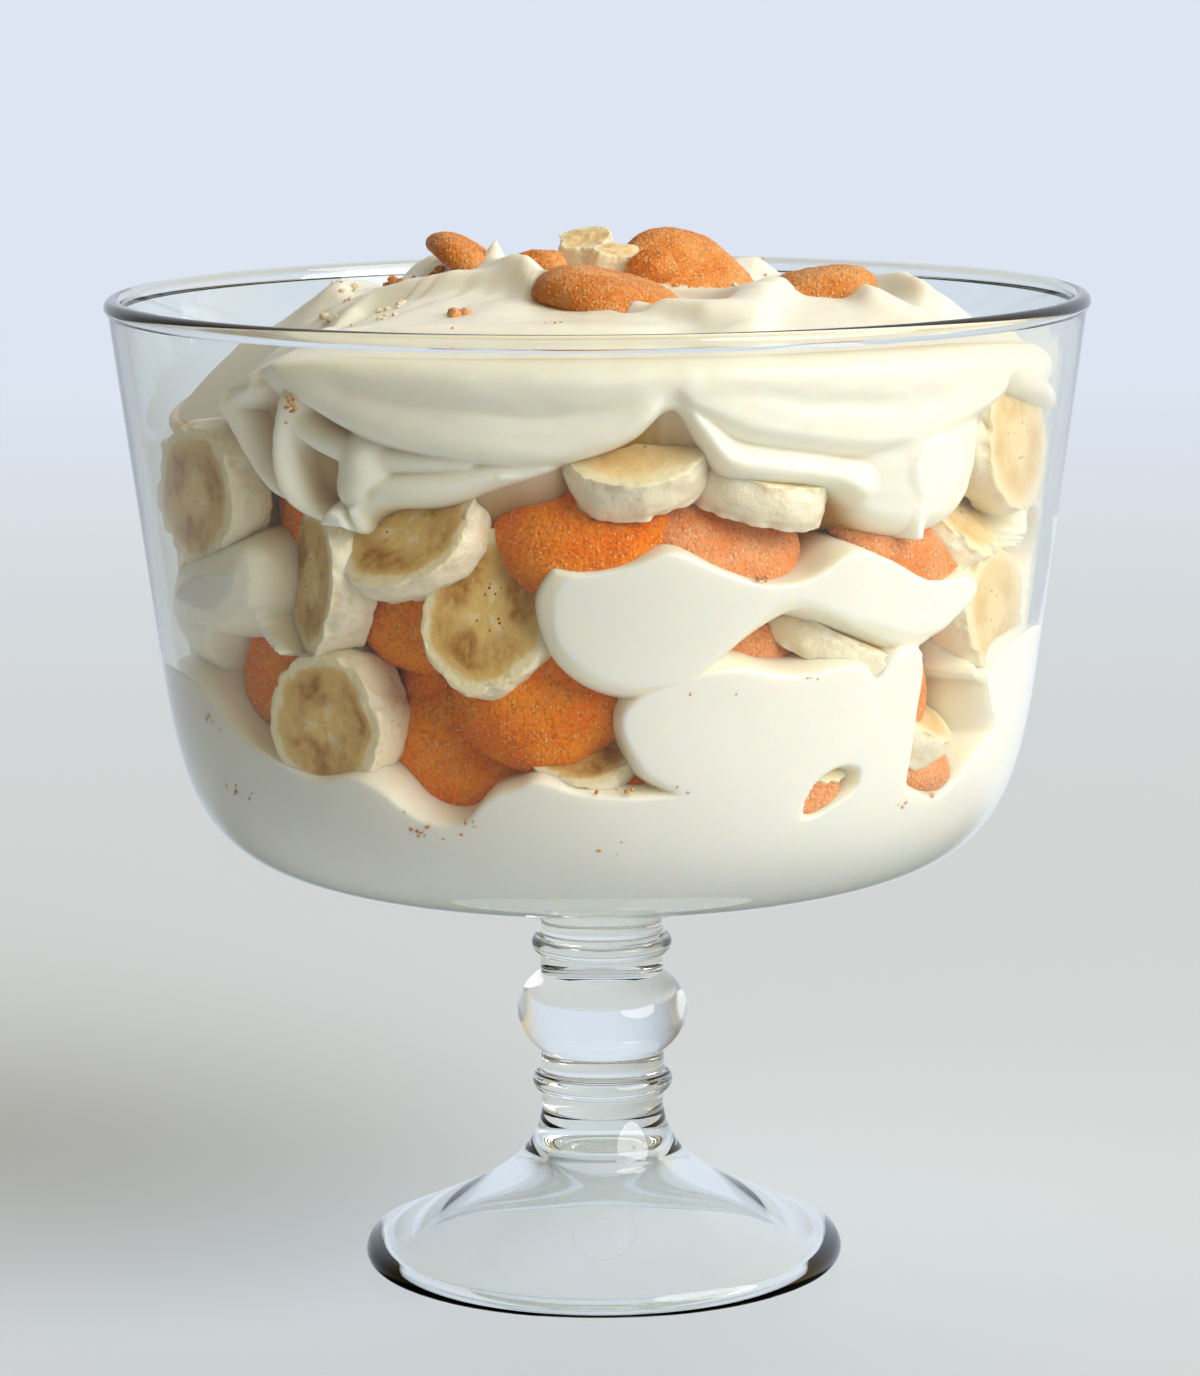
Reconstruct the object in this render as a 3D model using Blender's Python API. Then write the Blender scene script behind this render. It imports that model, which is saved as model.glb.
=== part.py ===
"""Banana pudding in a footed glass bowl.

A clear glass trifle bowl on a ball stem holds three bodies of soft food, a lower pudding, a middle
pudding and a swirled cream top. Slices of banana and domed vanilla wafers lie between them, pressed
against the glass, and more wafers and broken bits stand on top.

The model is in metres, +Z up. The origin is the centre of the foot's underside, and the shown side
faces -Y. An azimuth is 0 at -Y and grows towards +X.
"""

import math
import random
from dataclasses import dataclass

import bmesh
import bpy
from mathutils import Matrix, Vector
from mathutils.geometry import interpolate_bezier

MM = 0.001

# Driving sizes of the bowl, in millimetres
BOWL_HEIGHT = 222.0
RIM_RADIUS = 110.0
RIM_BEAD = 4.0
WALL_TOP_RADIUS = 108.7
WALL_SLOPE = 0.133
WALL_THICKNESS = 3.2
CORNER_HEIGHT = 139.3
BOTTOM_HEIGHT = 87.6
BOTTOM_THICKNESS = 4.6
NECK_RADIUS = 13.7
RING_RADIUS = 16.0
RING_THICKNESS = 5.0
BALL_RADIUS = 19.4
BALL_HEIGHT = 58.0
UPPER_RING_HEIGHT = 73.8
LOWER_RING_HEIGHT = 41.9
FOOT_RADIUS = 54.6
FOOT_EDGE = 5.6
FOOT_RING = 48.0
FOOT_HOLLOW_HEIGHT = 29.0
FOOT_HOLLOW_RADIUS = 13.0
GLASS_SIDES = 34
CORNER_FLOOR = 102.0

# Driving sizes of the food, in millimetres
GAP = 0.35
WALL_GAP = 0.75
WAFER_ACROSS = 38.0
WAFER_THICK = 11.0
SLICE_THICK = 9.5
MOUND_TOP = 227.0
MOUND_CURVE = 2.2
MOUND_CURVE_STEEP = 3.7
SHOULDER_HIGH = 216.0
SHOULDER_LOW = 190.0
LOWER_CORE_HEIGHT = 128.0
MIDDLE_CORE_HEIGHT = 180.0
FRONT_STEP = 8
BACK_STEP = 20
PIECE_SIDES = 10
WINDOW_SIDES = 6
BACK_SEED = 7

# Where the lower pudding ends at the glass: (azimuth in degrees, height in millimetres)
LOWER_EDGE = (
    (-180, 127), (-140, 123), (-105, 131), (-75, 140), (-56, 132), (-41, 125), (-30, 125),
    (-20, 118), (-9, 127), (0, 125), (11, 122), (25, 117), (38, 118), (52, 117), (65, 126),
    (90, 130), (135, 122),
)
# Where the cream begins at the glass
MIDDLE_EDGE = (
    (-180, 180), (-120, 176), (-80, 180), (-50, 177), (-32, 180), (-13, 184), (15, 182),
    (32, 178), (46, 176), (62, 182), (90, 180), (140, 184),
)
# Where the cream leaves the glass
SHOULDER = (
    (-180, 204), (-120, 199), (-90, 192), (-75, 190), (-62, 197), (-50, 208), (-42, 214),
    (-30, 216), (45, 216), (70, 213), (95, 207), (125, 211), (155, 206),
)


@dataclass(frozen=True)
class Piece:
    """One slice or wafer that lies against the glass.

    Args:
        name: the object's name.
        kind: banana or wafer.
        azimuth, height: its centre, in degrees and millimetres.
        across, thick: its size in millimetres.
        lean: how far its face looks up, in degrees.
        turn: how far its face looks to the right of straight out.
        roll, oval: the turn of its longer side in its own plane, and the shorter side's share.
        inset: how deep it lies behind the glass.
        shows: the azimuths and heights between which the pudding leaves it open.
    """

    name: str
    kind: str
    azimuth: float
    height: float
    across: float
    thick: float
    lean: float = -7.6
    turn: float = 0.0
    roll: float = 0.0
    oval: float = 1.0
    inset: float = 0.0
    shows: tuple = ()


UPPER_PIECES = (
    Piece("banana_lower_2", "banana", -14.5, 162, 36, 10, 12, 0, 75, 0.8, 0,
          (-22, -6, 144, 179)),
    Piece("wafer_upper_3", "wafer", -1.5, 183, 40, 12, 42, 0, shows=(-13, 11, 173, 192)),
    Piece("banana_upper_5", "banana", 4.8, 196, 33, 10.5, 52, -8, shows=(-6, 14, 184, 204)),
    Piece("banana_upper_2", "banana", -60, 183.5, 41, 9, -7, 0, 28, 0.74, 0,
          (-74, -46, 167, 200)),
    Piece("banana_upper_4", "banana", -25, 177.5, 34, 11, 26, -6, 28, 0.74, 0,
          (-34, -14, 166, 189)),
    Piece("banana_upper_3", "banana", -39.5, 167.5, 34, 10, 0, -28, 65, 0.8, 0,
          (-47, -32, 153, 182)),
    Piece("wafer_upper_4", "wafer", 17.5, 179, 38, 11, 45, 18, inset=0.5,
          shows=(7, 29, 169, 188)),
    Piece("banana_upper_6", "banana", 22.5, 188.5, 33, 9.5, 72, 30, shows=(13, 33, 179, 190)),
    Piece("wafer_upper_5", "wafer", 47, 177, 38, 11, 42, 16, shows=(32, 57, 166, 180)),
    Piece("banana_upper_8", "banana", 64, 193, 38, 9, 0, 0, -30, 0.8, 0, (54, 71, 180, 206)),
    Piece("banana_upper_7", "banana", 58, 177, 30, 9.5, 40, 10, inset=1,
          shows=(49, 65, 170, 186)),
    Piece("banana_upper_1", "banana", -76, 180, 32, 9, -7, -20, 0, 1, 8, (-78, -63, 172, 190)),
    Piece("wafer_upper_1", "wafer", -43, 183, 30, 10, 5, 0, inset=10,
          shows=(-48, -40, 175, 184)),
    Piece("wafer_upper_2", "wafer", -28, 164, 34, 11, 5, 0, inset=10,
          shows=(-36, -20, 156, 169)),
)
LOWER_PIECES = (
    Piece("banana_lower_1", "banana", -39.5, 136.8, 32, 12, -4, 6, 90, 0.92, 0,
          (-50, -25, 122, 152)),
    Piece("wafer_lower_3", "wafer", -8.5, 147.5, 39, 12, 12, 0, inset=3,
          shows=(-20, 3, 131, 158)),
    Piece("wafer_lower_4", "wafer", -20, 131.5, 38, 11, 2, 0, inset=8,
          shows=(-29, -9, 117, 143)),
    Piece("wafer_lower_2", "wafer", -24, 148, 28, 10, 10, 0, inset=14,
          shows=(-28, -18, 141, 154)),
    Piece("banana_lower_3", "banana", -2.5, 131.5, 25, 9, 45, 0, inset=1,
          shows=(-9, 4, 126, 137)),
    Piece("wafer_lower_5", "wafer", 4.5, 128.5, 26, 9, 55, 0, inset=3,
          shows=(-3, 11, 124, 131)),
    Piece("wafer_lower_1", "wafer", -54, 141, 30, 10, -5, 0, inset=6,
          shows=(-58, -47, 133, 146)),
    Piece("wafer_lower_6", "wafer", 22, 143, 37, 11, -4, 0, inset=9,
          shows=(12, 33, 150, 160)),
    Piece("banana_lower_4", "banana", 37, 154, 36, 8, 62, 48, shows=(26, 48, 149, 162)),
    Piece("wafer_lower_7", "wafer", 43.5, 145, 34, 10, 20, 0, inset=3,
          shows=(35, 52, 143, 154)),
    Piece("banana_lower_5", "banana", 62, 157, 31, 9, -4, 0, -30, 0.88, 0,
          (53, 71, 146, 168)),
    Piece("wafer_lower_8", "wafer", 76, 160, 30, 10, 0, 0, inset=5, shows=(68, 76, 155, 165)),
    Piece("banana_base_1", "banana", 50.5, 135, 28, 9, 48, 25, shows=(44, 58, 129, 140)),
    Piece("wafer_base_1", "wafer", 54, 127.5, 30, 8, 62, 15, shows=(45, 62, 123, 130)),
    Piece("wafer_base_2", "wafer", 51, 119.5, 24, 9, 35, 0, shows=(44, 57, 117, 125)),
    Piece("wafer_base_3", "wafer", 31.5, 121.5, 16, 8, 5, 0, shows=(27, 36, 117, 127)),
    Piece("banana_base_2", "banana", 31.5, 129.5, 18, 7, 35, 0, inset=2,
          shows=(28, 34, 126, 131)),
)


@dataclass(frozen=True)
class Topping:
    """One piece on the cream: its centre in millimetres, its size and where its face looks."""

    name: str
    kind: str
    centre: tuple
    across: float
    thick: float
    lean: float
    azimuth: float
    oval: float = 1.0


TOPPINGS = (
    Topping("wafer_top_1", "wafer", (-24, 4, 225.3), 32, 8.5, 50, 96),
    Topping("wafer_top_2", "wafer", (5, -40, 223.8), 38, 10.5, 73, 90),
    Topping("wafer_top_3", "wafer", (22.5, 6, 222.5), 36, 10, 42, 42),
    Topping("wafer_top_4", "wafer", (46.5, -10, 223.3), 30, 8, 78, -90),
    Topping("banana_top_1", "banana", (-2, 14, 230), 13, 7, 65, -20, 0.8),
    Topping("banana_top_2", "banana", (3.4, -6, 229), 11, 6, 70, 30, 0.8),
    Topping("wafer_top_5", "wafer", (-12.8, -10, 228.5), 14, 7, 60, -20, 0.7),
    Topping("wafer_top_6", "wafer", (12, -12, 229), 11, 6, 60, 10, 0.7),
)

# The side away from the viewer carries pieces of the same sizes in the same two bands
BACK_BANDS = (("upper", 182.0, 6), ("lower", 145.0, 6))
BACK_FIRST = 97.0
BACK_LAST = 258.0


def clear_scene() -> None:
    """Removes every object that the scene starts with."""
    for obj in list(bpy.data.objects):
        bpy.data.objects.remove(obj)


def make_material(name, colour, roughness, metallic=0.0, transmission=0.0):
    """A Principled material with one plain colour."""
    material = bpy.data.materials.new(name)
    material.use_nodes = True
    shader = material.node_tree.nodes["Principled BSDF"]
    shader.inputs["Base Color"].default_value = (*colour, 1.0)
    shader.inputs["Roughness"].default_value = roughness
    shader.inputs["Metallic"].default_value = metallic
    shader.inputs["Transmission Weight"].default_value = transmission
    material.diffuse_color = (*colour, 0.3 if transmission else 1.0)
    return material


def add_object(name, bm, material):
    """Turns a bmesh, built in millimetres, into a smooth shaded object in metres."""
    bmesh.ops.scale(bm, vec=(MM, MM, MM), verts=bm.verts)
    bmesh.ops.recalc_face_normals(bm, faces=bm.faces)
    mesh = bpy.data.meshes.new(name)
    bm.to_mesh(mesh)
    bm.free()
    mesh.materials.append(material)
    mesh.shade_smooth()
    mesh.set_sharp_from_angle(angle=math.radians(40))
    obj = bpy.data.objects.new(name, mesh)
    bpy.context.scene.collection.objects.link(obj)
    return obj


def arc(centre_r, centre_z, radius_r, radius_z, start, end, steps):
    """Points (r, z) along an elliptic arc, in degrees from +r towards +z."""
    points = []
    for i in range(steps + 1):
        angle = math.radians(start + (end - start) * i / steps)
        points.append((centre_r + radius_r * math.cos(angle), centre_z + radius_z * math.sin(angle)))
    return points


def curve(start, start_handle, end_handle, end, steps):
    """Points (r, z) along a cubic curve through its two handles."""
    control = [Vector((r, z, 0.0)) for r, z in (start, start_handle, end_handle, end)]
    return [(p.x, p.y) for p in interpolate_bezier(*control, steps + 1)]


def wall_radius(height):
    """Outer radius of the straight wall."""
    return WALL_TOP_RADIUS - (BOWL_HEIGHT - 6.0 - height) * WALL_SLOPE


def outer_profile():
    """The bowl, stem and foot as (r, z), from the rim's bead down to the foot's lowest edge."""
    bead = arc(RIM_RADIUS - RIM_BEAD / 2, BOWL_HEIGHT - RIM_BEAD / 2, RIM_BEAD / 2, RIM_BEAD / 2,
               90, -60, 3)
    corner = curve(
        (wall_radius(CORNER_HEIGHT), CORNER_HEIGHT),
        (wall_radius(CORNER_HEIGHT - 52.6), CORNER_HEIGHT - 52.6),
        (NECK_RADIUS + 65.0, BOTTOM_HEIGHT + 7.7),
        (NECK_RADIUS + 0.6, BOTTOM_HEIGHT - 3.0),
        7,
    )
    upper_ring = arc(RING_RADIUS - 2.4, UPPER_RING_HEIGHT, 2.4, RING_THICKNESS / 2, 70, -70, 2)
    ball = arc(0, BALL_HEIGHT, BALL_RADIUS, 13.2, 42, -42, 4)
    lower_ring = arc(RING_RADIUS - 2.4, LOWER_RING_HEIGHT, 2.4, RING_THICKNESS / 2, 70, -70, 2)
    foot = curve(
        (NECK_RADIUS, LOWER_RING_HEIGHT - 5.0),
        (NECK_RADIUS + 1.5, 22.0),
        (FOOT_RADIUS - 28.0, 17.5),
        (FOOT_RADIUS - 1.2, FOOT_EDGE),
        5,
    )
    edge = [(FOOT_RADIUS, 3.2), (FOOT_RADIUS - 1.6, 0.0)]
    neck = [(NECK_RADIUS, (BOTTOM_HEIGHT + UPPER_RING_HEIGHT) / 2)]
    return (bead + [(wall_radius(BOWL_HEIGHT - 6.0), BOWL_HEIGHT - 6.0)] + corner + neck
            + upper_ring + ball + lower_ring + foot + edge)


def inner_profile():
    """The inside of the bowl as (r, z), from the middle of its bottom up to the rim."""
    floor = BOTTOM_HEIGHT + BOTTOM_THICKNESS
    corner = curve(
        (NECK_RADIUS, floor + 0.4),
        (NECK_RADIUS + 61.0, floor + 7.6),
        (wall_radius(CORNER_HEIGHT - 47.0) - WALL_THICKNESS, CORNER_HEIGHT - 47.0),
        (wall_radius(CORNER_HEIGHT) - WALL_THICKNESS, CORNER_HEIGHT),
        7,
    )
    lip = [
        (wall_radius(BOWL_HEIGHT - 4.0) - WALL_THICKNESS, BOWL_HEIGHT - 4.0),
        (RIM_RADIUS - RIM_BEAD + 0.4, BOWL_HEIGHT - 0.9),
    ]
    return [(0.0, floor)] + corner + lip


INNER_PROFILE = inner_profile()


def inside_radius(height):
    """Inner radius of the bowl at a height, along its own facets."""
    for (r0, z0), (r1, z1) in zip(INNER_PROFILE[1:], INNER_PROFILE[2:]):
        if height <= z1:
            return r0 + (r1 - r0) * (height - z0) / (z1 - z0)
    return INNER_PROFILE[-2][0]


def direction(azimuth):
    """The unit vector that points straight out at an azimuth in degrees."""
    angle = math.radians(azimuth)
    return Vector((math.sin(angle), -math.cos(angle), 0.0))


def build_bowl(glass):
    """The glass: one turned solid with a hollow foot."""
    hollow = [(FOOT_RING, 0.0)] + curve(
        (FOOT_RING - 1.5, 1.0),
        (30.0, 13.0),
        (FOOT_HOLLOW_RADIUS + 2.0, FOOT_HOLLOW_HEIGHT - 12.0),
        (FOOT_HOLLOW_RADIUS, FOOT_HOLLOW_HEIGHT - 6.0),
        3,
    ) + arc(0, FOOT_HOLLOW_HEIGHT - 6.0, FOOT_HOLLOW_RADIUS, 6.0, 30, 90, 2)
    profile = INNER_PROFILE + outer_profile() + hollow
    bm = bmesh.new()
    verts = [bm.verts.new((r, 0.0, z)) for r, z in profile]
    edges = [bm.edges.new(pair) for pair in zip(verts, verts[1:])]
    bmesh.ops.spin(bm, geom=verts + edges, cent=(0, 0, 0), axis=(0, 0, 1), angle=math.tau,
                   steps=GLASS_SIDES, use_merge=True)
    bmesh.ops.remove_doubles(bm, verts=bm.verts, dist=0.01)
    return add_object("glass_bowl", bm, glass)


def edge_height(points, azimuth):
    """Height of a wavy edge at an azimuth, smooth between its named points."""
    azimuth = (azimuth + 180.0) % 360.0 - 180.0
    closed = list(points) + [(points[0][0] + 360, points[0][1])]
    for (a0, z0), (a1, z1) in zip(closed, closed[1:]):
        if a0 <= azimuth <= a1:
            share = (azimuth - a0) / (a1 - a0)
            share = share * share * (3 - 2 * share)
            return z0 + (z1 - z0) * share
    return points[0][1]


def columns():
    """The azimuths of a food body's columns, close together at the front."""
    front = list(range(-80, 81, FRONT_STEP))
    back = list(range(80 + BACK_STEP, 280 - BACK_STEP // 2, BACK_STEP))
    return front + back


def against_wall(height):
    """The point (r, z) of the food beside the glass."""
    return (inside_radius(height) - WALL_GAP, height)


def lower_column(azimuth):
    """The lower pudding's outline as (r, z), from its bottom to its top."""
    floor = BOTTOM_HEIGHT + BOTTOM_THICKNESS + WALL_GAP
    edge = edge_height(LOWER_EDGE, azimuth)
    bottom = [(r - WALL_GAP, z + WALL_GAP * 0.7) for r, z in INNER_PROFILE[2:-3] if z < CORNER_FLOOR]
    wall = [against_wall(height) for height in (CORNER_FLOOR + 5.0, edge - 3.0)]
    top = [(inside_radius(edge) - 3.0, edge), (74.0, 0.5 * (edge + LOWER_CORE_HEIGHT)),
           (40.0, LOWER_CORE_HEIGHT)]
    return [(0.0, floor)] + bottom + wall + top + [(0.0, LOWER_CORE_HEIGHT)]


def middle_column(azimuth):
    """The middle pudding's outline, which rests on the lower one."""
    edge = edge_height(LOWER_EDGE, azimuth)
    top = edge_height(MIDDLE_EDGE, azimuth)
    bottom = [(0.0, LOWER_CORE_HEIGHT + GAP), (40.0, LOWER_CORE_HEIGHT + GAP),
              (74.0, 0.5 * (edge + LOWER_CORE_HEIGHT) + GAP), (inside_radius(edge) - 3.0, edge + GAP)]
    wall = [against_wall(edge + (top - edge) * share) for share in (0.04, 0.35, 0.68, 0.95)]
    crown = [(inside_radius(top) - 3.0, top), (74.0, 0.5 * (top + MIDDLE_CORE_HEIGHT)),
             (40.0, MIDDLE_CORE_HEIGHT), (0.0, MIDDLE_CORE_HEIGHT)]
    return bottom + wall + crown


def cream_column(azimuth):
    """The cream's outline: up the glass to its shoulder, then over the mound."""
    edge = edge_height(MIDDLE_EDGE, azimuth)
    shoulder = edge_height(SHOULDER, azimuth)
    bottom = [(0.0, MIDDLE_CORE_HEIGHT + GAP), (40.0, MIDDLE_CORE_HEIGHT + GAP),
              (74.0, 0.5 * (edge + MIDDLE_CORE_HEIGHT) + GAP),
              (inside_radius(edge) - 3.0, edge + GAP)]
    wall = [against_wall(edge + (shoulder - edge) * share) for share in (0.08, 0.5, 0.97)]
    start = inside_radius(shoulder) - WALL_GAP - 1.0
    steepness = (SHOULDER_HIGH - shoulder) / (SHOULDER_HIGH - SHOULDER_LOW)
    power = MOUND_CURVE + (MOUND_CURVE_STEEP - MOUND_CURVE) * steepness
    mound = []
    for share in (0.06, 0.16, 0.32, 0.52, 0.76):
        swirl = 1.6 * math.sin(math.radians(3 * azimuth) + 9.0 * share) * math.sin(math.pi * share)
        rise = (MOUND_TOP - shoulder) * (1 - (1 - share) ** power)
        mound.append((start * (1 - share), shoulder + rise + swirl))
    return bottom + wall + mound + [(0.0, MOUND_TOP)]


def build_body(name, column, material):
    """A closed body from one outline for each azimuth."""
    bm = bmesh.new()
    rings = []
    azimuths = columns()
    outlines = [column(azimuth) for azimuth in azimuths]
    ways = [direction(azimuth) for azimuth in azimuths]
    first = bm.verts.new((0.0, 0.0, outlines[0][0][1]))
    last = bm.verts.new((0.0, 0.0, outlines[0][-1][1]))
    for row in range(1, len(outlines[0]) - 1):
        ring = []
        for outline, way in zip(outlines, ways):
            r, z = outline[row]
            ring.append(bm.verts.new((way.x * r, way.y * r, z)))
        rings.append(ring)
    count = len(azimuths)
    for i in range(count):
        j = (i + 1) % count
        bm.faces.new((first, rings[0][j], rings[0][i]))
        bm.faces.new((last, rings[-1][i], rings[-1][j]))
        for low, high in zip(rings, rings[1:]):
            bm.faces.new((low[i], low[j], high[j], high[i]))
    bmesh.ops.triangulate(bm, faces=bm.faces)
    return add_object(name, bm, material)


def disc_rings(kind):
    """A piece's outline as (share of radius, share of thickness), from its back to its face."""
    if kind == "banana":
        return ((0.9, -0.5), (1.0, -0.3), (1.0, 0.3), (0.9, 0.5))
    return ((0.9, -0.5), (1.0, -0.22), (0.86, 0.22), (0.5, 0.45))


def disc_points(kind, across, thick, oval, grow):
    """The piece's points in its own frame, +Z out of its face, grown by a margin."""
    rings = []
    for radius_share, height_share in disc_rings(kind):
        ring = []
        for i in range(PIECE_SIDES):
            angle = math.tau * i / PIECE_SIDES
            radius = radius_share * across / 2 + grow
            height = height_share * thick + math.copysign(grow, height_share)
            ring.append(Vector((radius * math.cos(angle), radius * oval * math.sin(angle), height)))
        rings.append(ring)
    return rings


def disc_mesh(kind, across, thick, oval):
    """A closed disc: a banana slice with rounded edges, or a wafer with a domed face."""
    bm = bmesh.new()
    rings = [[bm.verts.new(p) for p in ring] for ring in disc_points(kind, across, thick, oval, 0.0)]
    for low, high in zip(rings, rings[1:]):
        for i in range(PIECE_SIDES):
            j = (i + 1) % PIECE_SIDES
            bm.faces.new((low[i], low[j], high[j], high[i]))
    bm.faces.new(list(reversed(rings[0])))
    bm.faces.new(rings[-1])
    bmesh.ops.triangulate(bm, faces=bm.faces)
    return bm


def facing(lean, azimuth, roll):
    """The turn that makes a piece's +Z look out at an azimuth and up by its lean."""
    out = direction(azimuth)
    normal = out * math.cos(math.radians(lean)) + Vector((0, 0, math.sin(math.radians(lean))))
    right = Vector((math.cos(math.radians(azimuth)), math.sin(math.radians(azimuth)), 0.0))
    up = normal.cross(right)
    turn = Matrix((right, up, normal)).transposed()
    return turn @ Matrix.Rotation(math.radians(roll), 3, "Z")


def seated_centre(piece, turn):
    """Pushes a piece inwards from the glass until all of it clears the wall."""
    points = [turn @ p for ring in
              disc_points(piece.kind, piece.across, piece.thick, piece.oval, 0.0) for p in ring]
    way = direction(piece.azimuth)
    low, high = 40.0, 110.0
    for _ in range(24):
        radius = (low + high) / 2
        centre = way * radius + Vector((0, 0, piece.height))
        clear = all(math.hypot(*(centre + p).xy) < inside_radius((centre + p).z) - WALL_GAP
                    for p in points)
        if clear:
            low = radius
        else:
            high = radius
    return way * (low - piece.inset) + Vector((0, 0, piece.height))


@dataclass
class Placed:
    """A piece with its place settled."""

    name: str
    kind: str
    across: float
    thick: float
    oval: float
    centre: Vector
    turn: Matrix
    shows: tuple

    def points(self, grow):
        """Its points where it lies, grown by a margin."""
        rings = disc_points(self.kind, self.across, self.thick, self.oval, grow)
        return [self.centre + self.turn @ p for ring in rings for p in ring]

    def near(self, other):
        """Whether two pieces could touch."""
        return (self.centre - other.centre).length < (self.across + other.across) / 2 + 2.0


def place(piece):
    """Settles a piece against the glass."""
    turn = facing(piece.lean, piece.azimuth + piece.turn, piece.roll)
    return Placed(piece.name, piece.kind, piece.across, piece.thick, piece.oval,
                  seated_centre(piece, turn), turn, piece.shows)


def place_topping(topping):
    """Settles a piece on the cream."""
    turn = facing(topping.lean, topping.azimuth, 0.0)
    return Placed(topping.name, topping.kind, topping.across, topping.thick, topping.oval,
                  Vector(topping.centre), turn, ())


def back_pieces():
    """The pieces of the side away from the viewer, by a seeded rule."""
    draw = random.Random(BACK_SEED)
    pieces = []
    for band, height, count in BACK_BANDS:
        for i in range(count):
            kind = "banana" if (i + (band == "lower")) % 2 else "wafer"
            azimuth = BACK_FIRST + (BACK_LAST - BACK_FIRST) * (i + 0.5) / count + draw.uniform(-5, 5)
            across = draw.uniform(29, 33) if kind == "banana" else WAFER_ACROSS
            thick = SLICE_THICK if kind == "banana" else WAFER_THICK
            z = height + draw.uniform(-7, 7)
            tall = across / 2
            pieces.append(Piece(
                f"{kind}_back_{band}_{i + 1}", kind, azimuth, z, across, thick,
                lean=draw.uniform(-5, 46), turn=draw.uniform(-24, 24), roll=draw.uniform(0, 90),
                oval=draw.uniform(0.82, 0.95) if kind == "banana" else 1.0,
                shows=(azimuth - 14, azimuth + 14, z - tall, z + tall),
            ))
    return pieces


def hull_object(name, points):
    """The convex hull of points in millimetres, as a hidden cutter."""
    bm = bmesh.new()
    for p in points:
        bm.verts.new(p)
    result = bmesh.ops.convex_hull(bm, input=bm.verts)
    inside = [e for e in result["geom_interior"] if isinstance(e, bmesh.types.BMVert)]
    bmesh.ops.delete(bm, geom=inside, context="VERTS")
    bmesh.ops.dissolve_limit(bm, angle_limit=math.radians(1.0), verts=bm.verts, edges=bm.edges)
    bmesh.ops.triangulate(bm, faces=bm.faces)
    obj = add_object(name, bm, bpy.data.materials["wafer"])
    obj.hide_render = True
    obj.display_type = "WIRE"
    return obj


def pocket_points(placed):
    """The points of the pocket that a piece lies in, open to the glass only where it shows."""
    radius = placed.across / 2 + GAP
    half = placed.thick / 2 + GAP
    points = []
    for i in range(PIECE_SIDES):
        angle = math.tau * i / PIECE_SIDES
        for height in (-half, half):
            local = Vector((radius * math.cos(angle), radius * placed.oval * math.sin(angle), height))
            points.append(placed.centre + placed.turn @ local)
    if not placed.shows:
        return points
    first, last, low, high = placed.shows
    for i in range(WINDOW_SIDES):
        angle = math.tau * (i + 0.5) / WINDOW_SIDES
        azimuth = (first + last) / 2 + (last - first) * 0.54 * math.cos(angle)
        height = (low + high) / 2 + (high - low) * 0.54 * math.sin(angle)
        points.append(direction(azimuth) * (inside_radius(height) + 3.0) + Vector((0, 0, height)))
    return points


def keep_largest_part(bm):
    """Drops the loose scraps that a cut leaves."""
    left = set(bm.faces)
    parts = []
    while left:
        stack = [left.pop()]
        part = set(stack)
        while stack:
            face = stack.pop()
            for edge in face.edges:
                for other in edge.link_faces:
                    if other in left:
                        left.remove(other)
                        part.add(other)
                        stack.append(other)
        parts.append(part)
    parts.sort(key=lambda part: sum(face.calc_area() for face in part))
    scraps = [face for part in parts[:-1] for face in part]
    bmesh.ops.delete(bm, geom=scraps, context="FACES")


def carve(target, cutters):
    """Cuts pockets out of an object and removes the cutters."""
    group = bpy.data.collections.new(target.name + "_cutters")
    for cutter in cutters:
        group.objects.link(cutter)
    modifier = target.modifiers.new("pockets", "BOOLEAN")
    modifier.operation = "DIFFERENCE"
    modifier.operand_type = "COLLECTION"
    modifier.collection = group
    modifier.solver = "EXACT"
    modifier.use_self = False
    evaluated = target.evaluated_get(bpy.context.evaluated_depsgraph_get())
    bm = bmesh.new()
    bm.from_mesh(evaluated.to_mesh())
    evaluated.to_mesh_clear()
    target.modifiers.remove(modifier)
    bmesh.ops.dissolve_limit(bm, angle_limit=math.radians(0.5), verts=bm.verts, edges=bm.edges)
    bmesh.ops.triangulate(bm, faces=bm.faces)
    keep_largest_part(bm)
    bm.to_mesh(target.data)
    bm.free()
    for cutter in cutters:
        bpy.data.objects.remove(cutter)
    bpy.data.collections.remove(group)


def build_piece(placed, earlier, materials):
    """One slice or wafer, dented where it meets pieces that were laid before it."""
    bm = disc_mesh(placed.kind, placed.across, placed.thick, placed.oval)
    obj = add_object(placed.name, bm, materials[placed.kind])
    obj.matrix_world = Matrix.LocRotScale(placed.centre * MM, placed.turn.to_quaternion(), None)
    cutters = [hull_object(f"{placed.name}_by_{other.name}", other.points(GAP))
               for other in earlier if placed.near(other)]
    if cutters:
        carve(obj, cutters)
    return obj


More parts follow.
